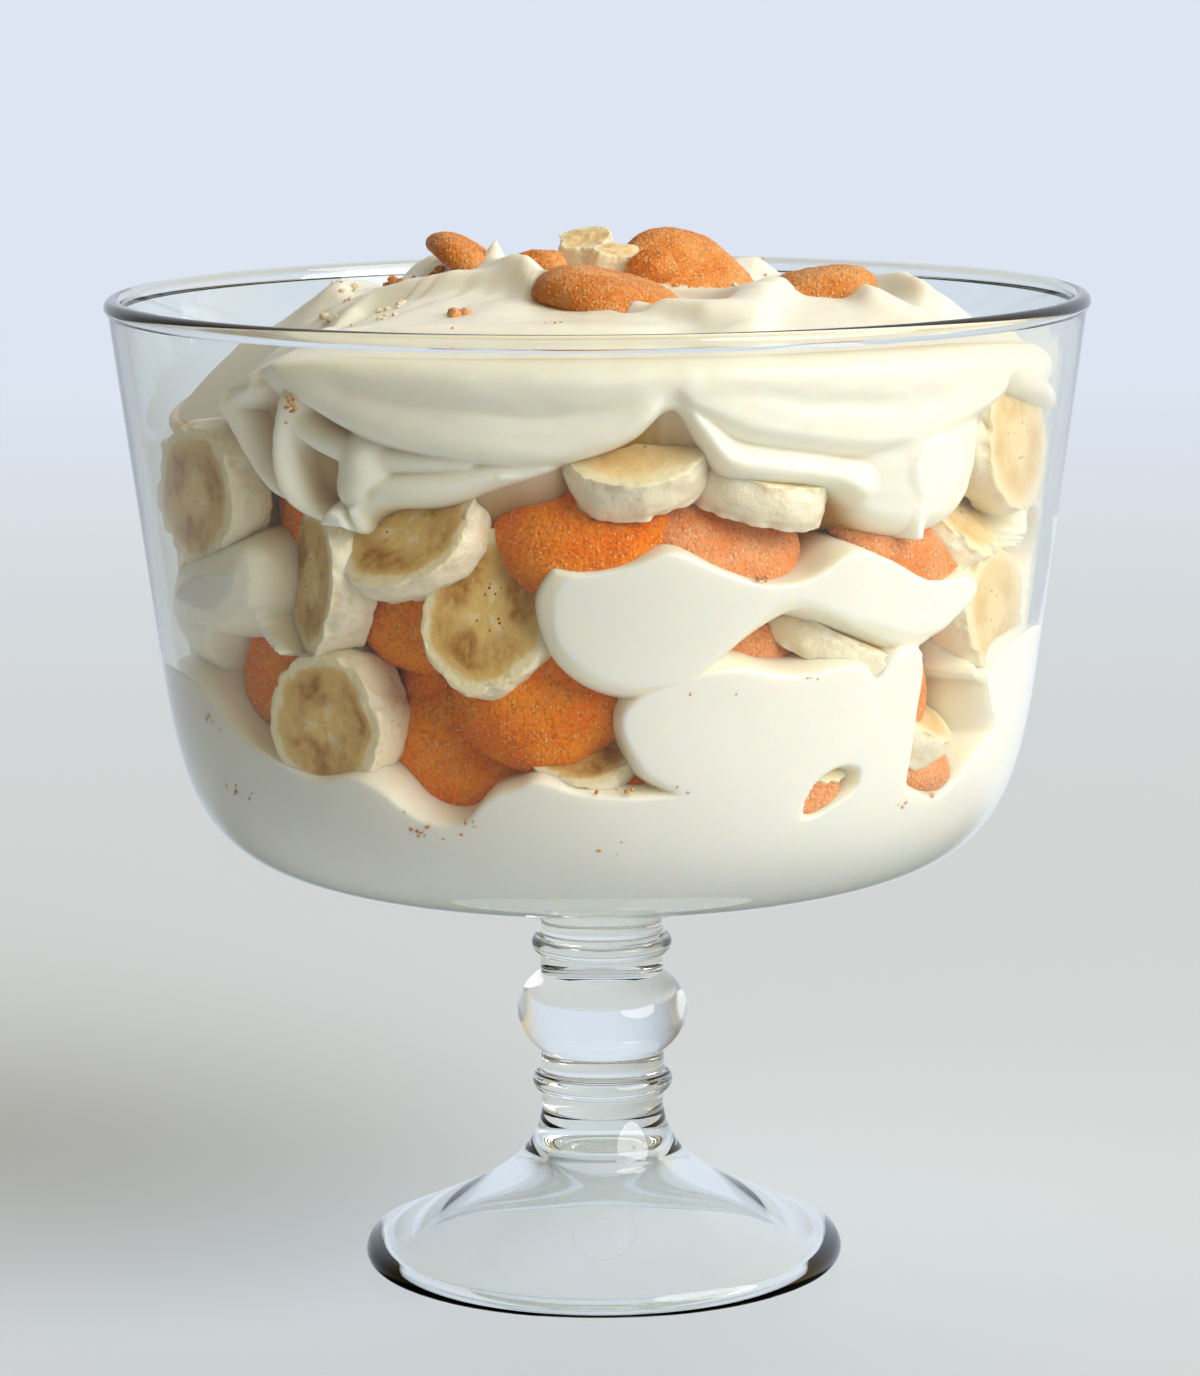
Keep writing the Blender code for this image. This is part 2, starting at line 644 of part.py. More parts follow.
def main() -> None:
    """Builds the bowl, the pieces and the three soft bodies around them."""
    clear_scene()
    glass = make_material("glass", (0.86, 0.94, 0.93), 0.02, transmission=1.0)
    pudding = make_material("pudding", (0.90, 0.86, 0.70), 0.35)
    cream = make_material("cream", (0.93, 0.91, 0.84), 0.4)
    materials = {
        "wafer": make_material("wafer", (0.60, 0.23, 0.06), 0.75),
        "banana": make_material("banana", (0.86, 0.76, 0.47), 0.45),
    }
    build_bowl(glass)
    at_glass = [place(piece) for piece in UPPER_PIECES + LOWER_PIECES]
    at_glass += [place(piece) for piece in back_pieces()]
    on_top = [place_topping(topping) for topping in TOPPINGS]
    placed = at_glass + on_top
    for i, piece in enumerate(placed):
        build_piece(piece, placed[:i], materials)
    for name, column, material in (
        ("pudding_lower", lower_column, pudding),
        ("pudding_middle", middle_column, pudding),
        ("cream_top", cream_column, cream),
    ):
        body = build_body(name, column, material)
        heights = [v.co.z / MM for v in body.data.vertices]
        cutters = []
        for piece in placed:
            points = pocket_points(piece)
            if min(p.z for p in points) < max(heights) and max(p.z for p in points) > min(heights):
                cutters.append(hull_object(f"{name}_round_{piece.name}", points))
        carve(body, cutters)


main()
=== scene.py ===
"""Banana pudding in a clear footed bowl, dressed for the picture.

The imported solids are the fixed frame. A fine turned glass stands for the bowl, one fine body each
for the pudding and for the cream, and a detailed slice or wafer for every piece that lies against
the glass or on top. Lengths are in millimetres until a mesh is finished, then in metres. An azimuth
is 0 at the shown side, -Y, and grows towards +X.
"""

import logging
import math
import random
from dataclasses import dataclass, field
from enum import Enum

import bmesh
import bpy
import numpy as np
from mathutils import Matrix, Vector, noise
from mathutils.geometry import interpolate_bezier


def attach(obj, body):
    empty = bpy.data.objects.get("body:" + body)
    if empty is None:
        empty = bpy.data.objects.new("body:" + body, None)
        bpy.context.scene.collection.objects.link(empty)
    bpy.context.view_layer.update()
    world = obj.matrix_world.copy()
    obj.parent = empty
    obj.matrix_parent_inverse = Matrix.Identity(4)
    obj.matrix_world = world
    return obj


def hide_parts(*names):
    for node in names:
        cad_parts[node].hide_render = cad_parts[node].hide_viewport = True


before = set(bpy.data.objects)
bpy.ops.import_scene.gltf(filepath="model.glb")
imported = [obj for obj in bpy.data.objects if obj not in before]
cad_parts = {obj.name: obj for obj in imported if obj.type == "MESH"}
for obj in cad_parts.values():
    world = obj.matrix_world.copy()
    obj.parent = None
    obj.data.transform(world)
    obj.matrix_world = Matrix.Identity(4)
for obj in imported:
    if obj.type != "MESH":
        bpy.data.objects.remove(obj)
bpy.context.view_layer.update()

log = logging.getLogger("banana_pudding")
MM = 0.001
# The radius of the food at the middle of the wall, and the length there of one degree round it
WALL = 98
DEGREE = 1.72


class Kind(Enum):
    """What a piece between the layers is."""

    WAFER = "wafer"
    BANANA = "banana"


class Layer(Enum):
    """Where a soft form lies against the slices and wafers."""

    UNDER = "behind and between the pieces"
    SHELF = "over them, but only below the line where the wafers rest"
    OVER = "over the pieces"


def linear(code: str) -> tuple[float, float, float, float]:
    """Turns an sRGB hex colour into linear red, green, blue and alpha.

    Args:
        code: the colour, such as "#F4E8C8".

    Returns:
        The linear colour with an alpha of 1.
    """
    channels = []
    for start in (1, 3, 5):
        value = int(code[start:start + 2], 16) / 255
        channels.append(value / 12.92 if value <= 0.04045 else ((value + 0.055) / 1.055) ** 2.4)
    return (*channels, 1.0)


def per_mm(size: float) -> float:
    """Returns the texture scale whose features are about this many millimetres apart."""
    return 1.0 / (size * MM)


def add_node(tree: bpy.types.NodeTree, kind: str, settings: dict | None = None,
             links: dict | None = None) -> bpy.types.Node:
    """Adds a node with its settings and links.

    Args:
        tree: the material's node tree.
        kind: the node's type name.
        settings: input values or properties by name.
        links: source sockets by input name or index.

    Returns:
        The new node.
    """
    node = tree.nodes.new(kind)
    for name, value in (settings or {}).items():
        if isinstance(name, str) and name.islower():
            setattr(node, name, value)
        else:
            node.inputs[name].default_value = value
    for name, socket in (links or {}).items():
        tree.links.new(socket, node.inputs[name])
    return node


def blend_colours(tree: bpy.types.NodeTree, share: bpy.types.NodeSocket, first: object,
                  second: object, mode: str = "MIX") -> bpy.types.NodeSocket:
    """Mixes two colours by a share.

    Args:
        tree: the material's node tree.
        share: the socket that gives the second colour's share.
        first: a linear colour or a socket.
        second: a linear colour or a socket.
        mode: the mix node's blend type.

    Returns:
        The mixed colour's socket.
    """
    mix = add_node(tree, "ShaderNodeMix", {"data_type": "RGBA", "blend_type": mode})
    tree.links.new(share, mix.inputs[0])
    for index, value in ((6, first), (7, second)):
        if isinstance(value, tuple):
            mix.inputs[index].default_value = value
        else:
            tree.links.new(value, mix.inputs[index])
    return mix.outputs[2]


def ramp(tree: bpy.types.NodeTree, value: bpy.types.NodeSocket, low: float, high: float,
         to_low: float = 0.0, to_high: float = 1.0) -> bpy.types.NodeSocket:
    """Lets a value rise or fall smoothly between two others.

    Args:
        tree: the material's node tree.
        value: the socket to read.
        low, high: the values between which it changes.
        to_low, to_high: what it gives at and past them.

    Returns:
        The changed value's socket.
    """
    node = add_node(tree, "ShaderNodeMapRange", {
        "interpolation_type": "SMOOTHSTEP", "From Min": low, "From Max": high,
        "To Min": to_low, "To Max": to_high,
    }, {"Value": value})
    return node.outputs["Result"]


def new_material(name: str) -> tuple[bpy.types.Material, bpy.types.Node]:
    """Makes an empty Principled material.

    Args:
        name: the finish's plain name.

    Returns:
        The material and its shader node.
    """
    material = bpy.data.materials.new(name)
    material.use_nodes = True
    return material, material.node_tree.nodes["Principled BSDF"]


@dataclass(frozen=True)
class PressedGlass:
    """Soda-lime glass, pressed and fire-polished: clear, with a faint green cast in thick parts.

    Args:
        tint: its colour.
        ior: how strongly it bends light.
        roughness: how dull its surface is.
    """

    tint: str = "#FBFEFD"
    ior: float = 1.5
    roughness: float = 0.0

    def material(self) -> bpy.types.Material:
        """Makes the glass's material.

        Returns:
            The material.
        """
        material, shader = new_material("pressed_glass")
        shader.inputs["Base Color"].default_value = linear(self.tint)
        shader.inputs["Roughness"].default_value = self.roughness
        shader.inputs["IOR"].default_value = self.ior
        shader.inputs["Transmission Weight"].default_value = 1.0
        return material


@dataclass(frozen=True)
class SetPudding:
    """Cooked vanilla pudding against the glass: painted cool white where it touches, cream elsewhere, painted
    shade in its hollows.

    Args:
        name: the finish's name.
        touching, open_air, hollow: its colour flat on the glass, off it and deep in the hollows. The
            cool white on the glass is painted light, the flat and unshaded look of the pressed patches;
            the hollow colour is painted shade.
        roughness: how dull its surface is.
        scatter: how far light goes through it, in millimetres.
        shade_from, shade_to: the depths in millimetres between which the hollow colour sets in.
    """

    name: str = "set_pudding"
    touching: str = "#F0F1EA"
    open_air: str = "#F7F0DC"
    hollow: str = "#A26C26"
    roughness: float = 0.34
    scatter: float = 4.0
    shade_from: float = 7.0
    shade_to: float = 18.0

    def material(self) -> bpy.types.Material:
        """Makes the pudding's material, which reads how far its surface stands off the glass.

        Returns:
            The material.
        """
        material, shader = new_material(self.name)
        tree = material.node_tree
        depth = add_node(tree, "ShaderNodeAttribute", {"attribute_name": "depth"})
        place = add_node(tree, "ShaderNodeTexCoord")
        # Slow clouds, 22 mm apart, and a fine grain of 2.4 mm
        clouds = add_node(tree, "ShaderNodeTexNoise", {"Scale": per_mm(22), "Detail": 3.0},
                          {"Vector": place.outputs["Object"]})
        grain = add_node(tree, "ShaderNodeTexNoise", {"Scale": per_mm(2.4), "Detail": 4.0},
                         {"Vector": place.outputs["Object"]})
        # Painted light: flat on the glass the surface takes the cooler touching white, for the unshaded look
        # of the pressed patches
        away = ramp(tree, depth.outputs["Fac"], 0.02, 0.35)
        # Painted shade: deep behind the glass the surface turns the hollow colour's brown, where folds and
        # crevices fall into shade
        painted_shade = ramp(tree, depth.outputs["Fac"], self.shade_from, self.shade_to)
        colour = blend_colours(tree, away, linear(self.touching), linear(self.open_air))
        colour = blend_colours(tree, painted_shade, colour, linear(self.hollow))
        tone = ramp(tree, clouds.outputs["Fac"], 0.35, 0.7, 0.0, 0.12)
        colour = blend_colours(tree, tone, colour, linear("#FFFFFF"))
        tree.links.new(colour, shader.inputs["Base Color"])
        bump = add_node(tree, "ShaderNodeBump", {"Strength": 0.10, "Distance": 0.4 * MM},
                        {"Height": grain.outputs["Fac"]})
        tree.links.new(bump.outputs["Normal"], shader.inputs["Normal"])
        shader.inputs["Roughness"].default_value = self.roughness
        shader.inputs["Specular IOR Level"].default_value = 0.35
        shader.inputs["Subsurface Weight"].default_value = 0.8
        shader.inputs["Subsurface Radius"].default_value = (1.0, 0.70, 0.35)
        shader.inputs["Subsurface Scale"].default_value = self.scatter * MM
        return material


@dataclass(frozen=True)
class BakedWafer:
    """Vanilla wafer: a golden crust with sugar grain and pits, deeper in colour where it is moist.

    Args:
        name: the finish's name.
        crust, light, browned, sugar: the colours of its crust, its light patches, its browned
            places and its sugar crystals.
        grain_size: how far apart the crust's grains are, in millimetres.
        specular: how strongly it shines.
    """

    name: str = "baked_wafer"
    crust: str = "#E18634"
    light: str = "#F2AC66"
    browned: str = "#A85A1E"
    sugar: str = "#FAD6A4"
    grain_size: float = 0.9
    specular: float = 0.3

    def material(self) -> bpy.types.Material:
        """Makes the wafer's material, which reads how browned each place is.

        Returns:
            The material.
        """
        material, shader = new_material(self.name)
        tree = material.node_tree
        brown = add_node(tree, "ShaderNodeAttribute", {"attribute_name": "browned"})
        place = add_node(tree, "ShaderNodeTexCoord")
        # Patches 10 mm apart, crust grain under 1 mm and sugar crystals about 0.85 mm apart
        patches = add_node(tree, "ShaderNodeTexNoise", {"Scale": per_mm(10), "Detail": 3.0},
                           {"Vector": place.outputs["Object"]})
        crust = add_node(tree, "ShaderNodeTexNoise",
                         {"Scale": per_mm(self.grain_size), "Detail": 3.0, "Roughness": 0.65},
                         {"Vector": place.outputs["Object"]})
        crystals = add_node(tree, "ShaderNodeTexVoronoi", {"Scale": per_mm(0.85)},
                            {"Vector": place.outputs["Object"]})
        chosen = add_node(tree, "ShaderNodeSeparateColor", {}, {"Color": crystals.outputs["Color"]})
        near = ramp(tree, crystals.outputs["Distance"], 0.46, 0.22)
        few = ramp(tree, chosen.outputs["Red"], 0.48, 0.72)
        spots = add_node(tree, "ShaderNodeMath", {"operation": "MULTIPLY"}, {0: near, 1: few})
        uneven = ramp(tree, patches.outputs["Fac"], 0.36, 0.66)
        colour = blend_colours(tree, uneven, linear(self.crust), linear(self.light))
        dark = ramp(tree, crust.outputs["Fac"], 0.52, 0.36, 0.0, 0.45)
        colour = blend_colours(tree, dark, colour, linear(self.browned))
        colour = blend_colours(tree, brown.outputs["Fac"], colour, linear(self.browned))
        share = add_node(tree, "ShaderNodeMath", {"operation": "MULTIPLY", 1: 0.75},
                         {0: spots.outputs["Value"]})
        colour = blend_colours(tree, share.outputs["Value"], colour, linear(self.sugar))
        tree.links.new(colour, shader.inputs["Base Color"])
        fine = add_node(tree, "ShaderNodeBump", {"Strength": 1.0, "Distance": 0.85 * MM},
                        {"Height": crust.outputs["Fac"]})
        raised = add_node(tree, "ShaderNodeBump", {"Strength": 1.0, "Distance": 0.2 * MM},
                          {"Height": spots.outputs["Value"], "Normal": fine.outputs["Normal"]})
        tree.links.new(raised.outputs["Normal"], shader.inputs["Normal"])
        shader.inputs["Roughness"].default_value = 0.6
        shader.inputs["Specular IOR Level"].default_value = self.specular
        shader.inputs["Subsurface Weight"].default_value = 0.1
        shader.inputs["Subsurface Radius"].default_value = (1.0, 0.40, 0.12)
        shader.inputs["Subsurface Scale"].default_value = 2.0 * MM
        return material


@dataclass(frozen=True)
class CutBanana:
    """Cut banana: moist flesh with a paler edge, amber patches round a pale middle with tiny seeds.

    Args:
        name: the finish's name.
        edge, flesh, amber, fibre, seed, side: the colours of the face's margin, its flesh, its
            amber patches, its three pale rays, its seeds and the slice's side.
    """

    name: str = "cut_banana"
    edge: str = "#F0E4BE"
    flesh: str = "#E6C478"
    amber: str = "#A86C16"
    fibre: str = "#F0DFB4"
    seed: str = "#573418"
    side: str = "#F3EAD2"

    def material(self) -> bpy.types.Material:
        """Makes the banana's material, which reads each slice's own face coordinates.

        Returns:
            The material.
        """
        material, shader = new_material(self.name)
        tree = material.node_tree
        face = add_node(tree, "ShaderNodeAttribute", {"attribute_name": "face"})
        side = add_node(tree, "ShaderNodeAttribute", {"attribute_name": "side"})
        spot = face.outputs["Vector"]
        parts = add_node(tree, "ShaderNodeSeparateXYZ", {}, {"Vector": spot})
        place = add_node(tree, "ShaderNodeTexCoord")
        flat = add_node(tree, "ShaderNodeCombineXYZ", {},
                        {"X": parts.outputs["X"], "Y": parts.outputs["Y"]})
        reach = add_node(tree, "ShaderNodeVectorMath", {"operation": "LENGTH"},
                         {0: flat.outputs["Vector"]})
        wobble = add_node(tree, "ShaderNodeTexNoise", {"Scale": 2.6, "Detail": 2.0}, {"Vector": spot})
        radius = add_node(tree, "ShaderNodeMath", {"operation": "MULTIPLY_ADD", 1: 0.26},
                          {0: wobble.outputs["Fac"], 2: reach.outputs["Value"]}).outputs["Value"]
        angle = add_node(tree, "ShaderNodeMath", {"operation": "ARCTAN2"},
                         {0: parts.outputs["Y"], 1: parts.outputs["X"]})
        turned = add_node(tree, "ShaderNodeMath", {"operation": "MULTIPLY_ADD", 1: 3.0},
                          {0: angle.outputs["Value"], 2: parts.outputs["Z"]})
        three = add_node(tree, "ShaderNodeMath", {"operation": "COSINE"},
                         {0: turned.outputs["Value"]}).outputs["Value"]
        streaks = add_node(tree, "ShaderNodeTexNoise", {"Scale": 5.5, "Detail": 4.0}, {"Vector": spot})
        blotches = add_node(tree, "ShaderNodeTexNoise", {"Scale": 1.9, "Detail": 3.0}, {"Vector": spot})
        colour = blend_colours(tree, ramp(tree, radius, 0.88, 0.98), linear(self.flesh),
                               linear(self.edge))
        outer = ramp(tree, radius, 0.98, 0.74)
        inner = ramp(tree, radius, 0.36, 0.56)
        patchy = ramp(tree, blotches.outputs["Fac"], 0.38, 0.58, 0.35, 1.0)
        mottle = ramp(tree, streaks.outputs["Fac"], 0.34, 0.60, 0.6, 1.0)
        sectors = ramp(tree, three, 0.9, -0.4, 0.55, 1.0)
        stain = self.product(tree, outer, inner, sectors, patchy, mottle)
        colour = blend_colours(tree, stain, colour, linear(self.amber))
        rays = self.product(tree, ramp(tree, three, 0.3, 1.0, 0.0, 0.6), ramp(tree, radius, 0.66, 0.34),
                            ramp(tree, streaks.outputs["Fac"], 0.36, 0.52))
        colour = blend_colours(tree, rays, colour, linear(self.fibre))
        dots = add_node(tree, "ShaderNodeTexVoronoi", {"Scale": 10.5}, {"Vector": spot})
        seeds = self.product(tree, ramp(tree, dots.outputs["Distance"], 0.26, 0.12),
                             ramp(tree, radius, 0.52, 0.40), ramp(tree, three, -0.5, 0.3))
        colour = blend_colours(tree, seeds, colour, linear(self.seed))
        # Strings and torn places on the side, about 1.4 mm apart
        strings = add_node(tree, "ShaderNodeTexNoise", {"Scale": per_mm(1.4), "Detail": 4.0},
                           {"Vector": place.outputs["Object"]})
        worn = ramp(tree, strings.outputs["Fac"], 0.52, 0.72, 0.0, 0.55)
        rough = blend_colours(tree, worn, linear(self.side), linear(self.flesh))
        colour = blend_colours(tree, side.outputs["Fac"], colour, rough)
        tree.links.new(colour, shader.inputs["Base Color"])
        bump = add_node(tree, "ShaderNodeBump", {"Strength": 0.7, "Distance": 0.5 * MM},
                        {"Height": strings.outputs["Fac"]})
        tree.links.new(bump.outputs["Normal"], shader.inputs["Normal"])
        shader.inputs["Roughness"].default_value = 0.36
        shader.inputs["Specular IOR Level"].default_value = 0.4
        shader.inputs["Subsurface Weight"].default_value = 0.5
        shader.inputs["Subsurface Radius"].default_value = (1.0, 0.60, 0.22)
        shader.inputs["Subsurface Scale"].default_value = 2.5 * MM
        return material

    @staticmethod
    def product(tree: bpy.types.NodeTree, *shares: bpy.types.NodeSocket) -> bpy.types.NodeSocket:
        """Multiplies shares together.

        Args:
            tree: the material's node tree.
            shares: the sockets that give the shares.

        Returns:
            The product's socket.
        """
        result = shares[0]
        for share in shares[1:]:
            node = add_node(tree, "ShaderNodeMath", {"operation": "MULTIPLY"}, {0: result, 1: share})
            result = node.outputs["Value"]
        return result


def arc(centre_r: float, centre_z: float, radius_r: float, radius_z: float, start: float,
        end: float, steps: int) -> list[tuple[float, float]]:
    """Follows an elliptic arc.

    Args:
        centre_r, centre_z: its centre.
        radius_r, radius_z: its two radii.
        start, end: its ends, in degrees from +r towards +z.
        steps: the number of steps along it.

    Returns:
        Its points, as (r, z).
    """
    angles = [math.radians(start + (end - start) * i / steps) for i in range(steps + 1)]
    return [(centre_r + radius_r * math.cos(a), centre_z + radius_z * math.sin(a)) for a in angles]


def curve(start: tuple, start_handle: tuple, end_handle: tuple, end: tuple,
          steps: int) -> list[tuple[float, float]]:
    """Follows a cubic curve.

    Args:
        start, end: its ends, as (r, z).
        start_handle, end_handle: the handles that shape it.
        steps: the number of steps along it.

    Returns:
        Its points, as (r, z).
    """
    control = [Vector((r, z, 0.0)) for r, z in (start, start_handle, end_handle, end)]
    return [(p.x, p.y) for p in interpolate_bezier(*control, steps + 1)]


def direction(azimuth: float) -> Vector:
    """Returns the unit vector that points straight out at an azimuth in degrees."""
    angle = math.radians(azimuth)
    return Vector((math.sin(angle), -math.cos(angle), 0.0))


def finish_piece(name: str, mesh: bpy.types.Mesh, material: bpy.types.Material,
                 nodes: tuple[str, ...] = (), sharp: float = 50.0) -> bpy.types.Object:
    """Puts a finished mesh into the scene as one piece of the object.

    Args:
        name: the piece's name.
        mesh: its mesh, in metres, where it lies.
        material: its finish.
        nodes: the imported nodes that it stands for.
        sharp: the angle in degrees past which an edge stays sharp.

    Returns:
        The new object.
    """
    mesh.materials.append(material)
    mesh.shade_smooth()
    mesh.set_sharp_from_angle(angle=math.radians(sharp))
    piece = bpy.data.objects.new(name, mesh)
    bpy.context.scene.collection.objects.link(piece)
    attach(piece, "root")
    if nodes:
        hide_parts(*nodes)
    log.info("%s: %d faces", name, len(mesh.polygons))
    return piece


@dataclass
class TrifleBowl:
    """The glass bowl on its ball stem and hollow foot, as one turned body.

    Args:
        height, rim_radius, rim_bead: how high and wide its rim is, and how thick its bead is.
        wall_top_radius, wall_slope, wall_thickness: the straight wall, from its top down.
        corner_height: where the wall starts to turn in towards the bottom.
        bottom_height, bottom_thickness: the bottom's underside and thickness.
        neck_radius, ring_radius, ring_thickness, ball_radius: the widths of the stem's parts.
        ball_height, upper_ring_height, lower_ring_height: where they stand.
        foot_radius, foot_edge, foot_ring: the foot's width, its edge's height, and the radius of
            the ring that it stands on.
        hollow_height, hollow_radius: the hollow under the foot, at its top.
        sides: the steps round.
        inside, inside_line: the inside's profile, kept for the food that lies against it.
    """

    height: float = 222.0
    rim_radius: float = 110.0
    rim_bead: float = 4.0
    wall_top_radius: float = 108.7
    wall_slope: float = 0.133
    wall_thickness: float = 3.2
    corner_height: float = 139.3
    bottom_height: float = 87.6
    bottom_thickness: float = 4.6
    neck_radius: float = 13.7
    ring_radius: float = 16.0
    ring_thickness: float = 5.0
    ball_radius: float = 19.4
    ball_height: float = 58.0
    upper_ring_height: float = 73.8
    lower_ring_height: float = 41.9
    foot_radius: float = 54.6
    foot_edge: float = 5.6
    foot_ring: float = 48.0
    hollow_height: float = 29.0
    hollow_radius: float = 13.0
    sides: int = 180
    inside: list = field(init=False, repr=False)
    inside_line: np.ndarray = field(init=False, repr=False)

    def __post_init__(self) -> None:
        """Keeps the inside's profile for the food that lies against it."""
        self.inside = self.inner_profile()
        self.inside_line = np.array(self.inside[1:]).T

    def wall_radius(self, height: float) -> float:
        """Returns the outer radius of the straight wall."""
        return self.wall_top_radius - (self.height - 6.0 - height) * self.wall_slope

    def inner_profile(self) -> list[tuple[float, float]]:
        """Draws the inside of the bowl, from the middle of its bottom up to the rim.

        Returns:
            Its points, as (r, z).
        """
        floor = self.bottom_height + self.bottom_thickness
        corner = curve(
            (self.neck_radius, floor + 0.4),
            (self.neck_radius + 61.0, floor + 7.6),
            (self.wall_radius(self.corner_height - 47.0) - self.wall_thickness,
             self.corner_height - 47.0),
            (self.wall_radius(self.corner_height) - self.wall_thickness, self.corner_height), 40)
        lip = [(self.wall_radius(self.height - 4.0) - self.wall_thickness, self.height - 4.0)]
        lip += arc(self.rim_radius - self.rim_bead + 1.3, self.height - 1.6, 1.2, 1.5, 180, 100, 5)
        return [(0.0, floor)] + corner + lip

    def outer_profile(self) -> list[tuple[float, float]]:
        """Draws the outside, from the rim's bead down to the foot's lowest edge.

        Returns:
            Its points, as (r, z).
        """
        half = self.rim_bead / 2
        bead = arc(self.rim_radius - half, self.height - half, half, half, 88, -62, 14)
        corner = curve(
            (self.wall_radius(self.corner_height), self.corner_height),
            (self.wall_radius(self.corner_height - 52.6), self.corner_height - 52.6),
            (self.neck_radius + 65.0, self.bottom_height + 7.7),
            (self.neck_radius + 0.6, self.bottom_height - 3.0), 44)
        neck = [(self.neck_radius, (self.bottom_height + self.upper_ring_height) / 2)]
        wide = self.ring_radius - 2.4
        thick = self.ring_thickness / 2
        upper = arc(wide, self.upper_ring_height, 2.4, thick, 76, -76, 9)
        ball = arc(0, self.ball_height, self.ball_radius, 13.2, 44, -44, 20)
        lower = arc(wide, self.lower_ring_height, 2.4, thick, 76, -76, 9)
        foot = curve((self.neck_radius, self.lower_ring_height - 5.0), (self.neck_radius + 1.5, 22.0),
                     (self.foot_radius - 28.0, 17.5), (self.foot_radius - 1.2, self.foot_edge), 26)
        edge = arc(self.foot_radius - 2.4, 2.8, 2.4, 2.8, 40, -88, 8)
        return (bead + [(self.wall_radius(self.height - 6.0), self.height - 6.0)] + corner + neck
                + upper + ball + lower + foot + edge)

    def hollow_profile(self) -> list[tuple[float, float]]:
        """Draws the hollow under the foot, from its mouth up to the axis.

        Returns:
            Its points, as (r, z).
        """
        top = self.hollow_height - 6.0
        cone = curve((self.foot_ring - 1.0, 0.5), (30.0, 13.0), (self.hollow_radius + 2.0, top - 6.0),
                     (self.hollow_radius, top), 22)
        return [(self.foot_ring, 0.0)] + cone + arc(0, top, self.hollow_radius, 6.0, 12, 90, 10)

    def inside_radius(self, height: np.ndarray) -> np.ndarray:
        """Returns the bowl's inner radius at each height."""
        radii, heights = self.inside_line
        return np.interp(height, heights, radii)

    def build(self, glass: bpy.types.Material) -> bpy.types.Object:
        """Turns the whole profile round the axis.

        Args:
            glass: the glass's finish.

        Returns:
            The new piece.
        """
        profile = self.inside + self.outer_profile() + self.hollow_profile()
        bm = bmesh.new()
        verts = [bm.verts.new((0.0, -r * MM, z * MM)) for r, z in profile]
        edges = [bm.edges.new(pair) for pair in zip(verts, verts[1:])]
        bmesh.ops.spin(bm, geom=verts + edges, cent=(0, 0, 0), axis=(0, 0, 1), angle=math.tau,
                       steps=self.sides, use_merge=True)
        bmesh.ops.remove_doubles(bm, verts=bm.verts, dist=0.00001)
        bmesh.ops.recalc_face_normals(bm, faces=bm.faces)
        mesh = bpy.data.meshes.new("clear_bowl")
        bm.to_mesh(mesh)
        bm.free()
        piece = finish_piece("clear_bowl", mesh, glass, ("glass_bowl",))
        # The food is lit as through clear glass: neither lamps nor bounced light stop at it
        piece.visible_shadow = False
        piece.visible_diffuse = False
        return piece


@dataclass(frozen=True)
class Piece:
    """One slice or wafer against the glass, as its solid lies.

    Args:
        name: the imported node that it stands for.
        kind: banana or wafer.
        azimuth, height: its centre, in degrees and millimetres.
        across, thick: its size in millimetres.
        lean: how far its face looks up, in degrees.
        turn: how far its face looks to the right of straight out.
        roll, oval: the turn of its longer side in its own plane, and the shorter side's share.
        inset: how deep it lies behind the glass.
        centre: its centre, where it lies on the cream instead.
    """

    name: str
    kind: Kind
    azimuth: float
    height: float
    across: float
    thick: float
    lean: float = -7.6
    turn: float = 0.0
    roll: float = 0.0
    oval: float = 1.0
    inset: float = 0.0
    centre: tuple | None = None


WAFER = Kind.WAFER
BANANA = Kind.BANANA
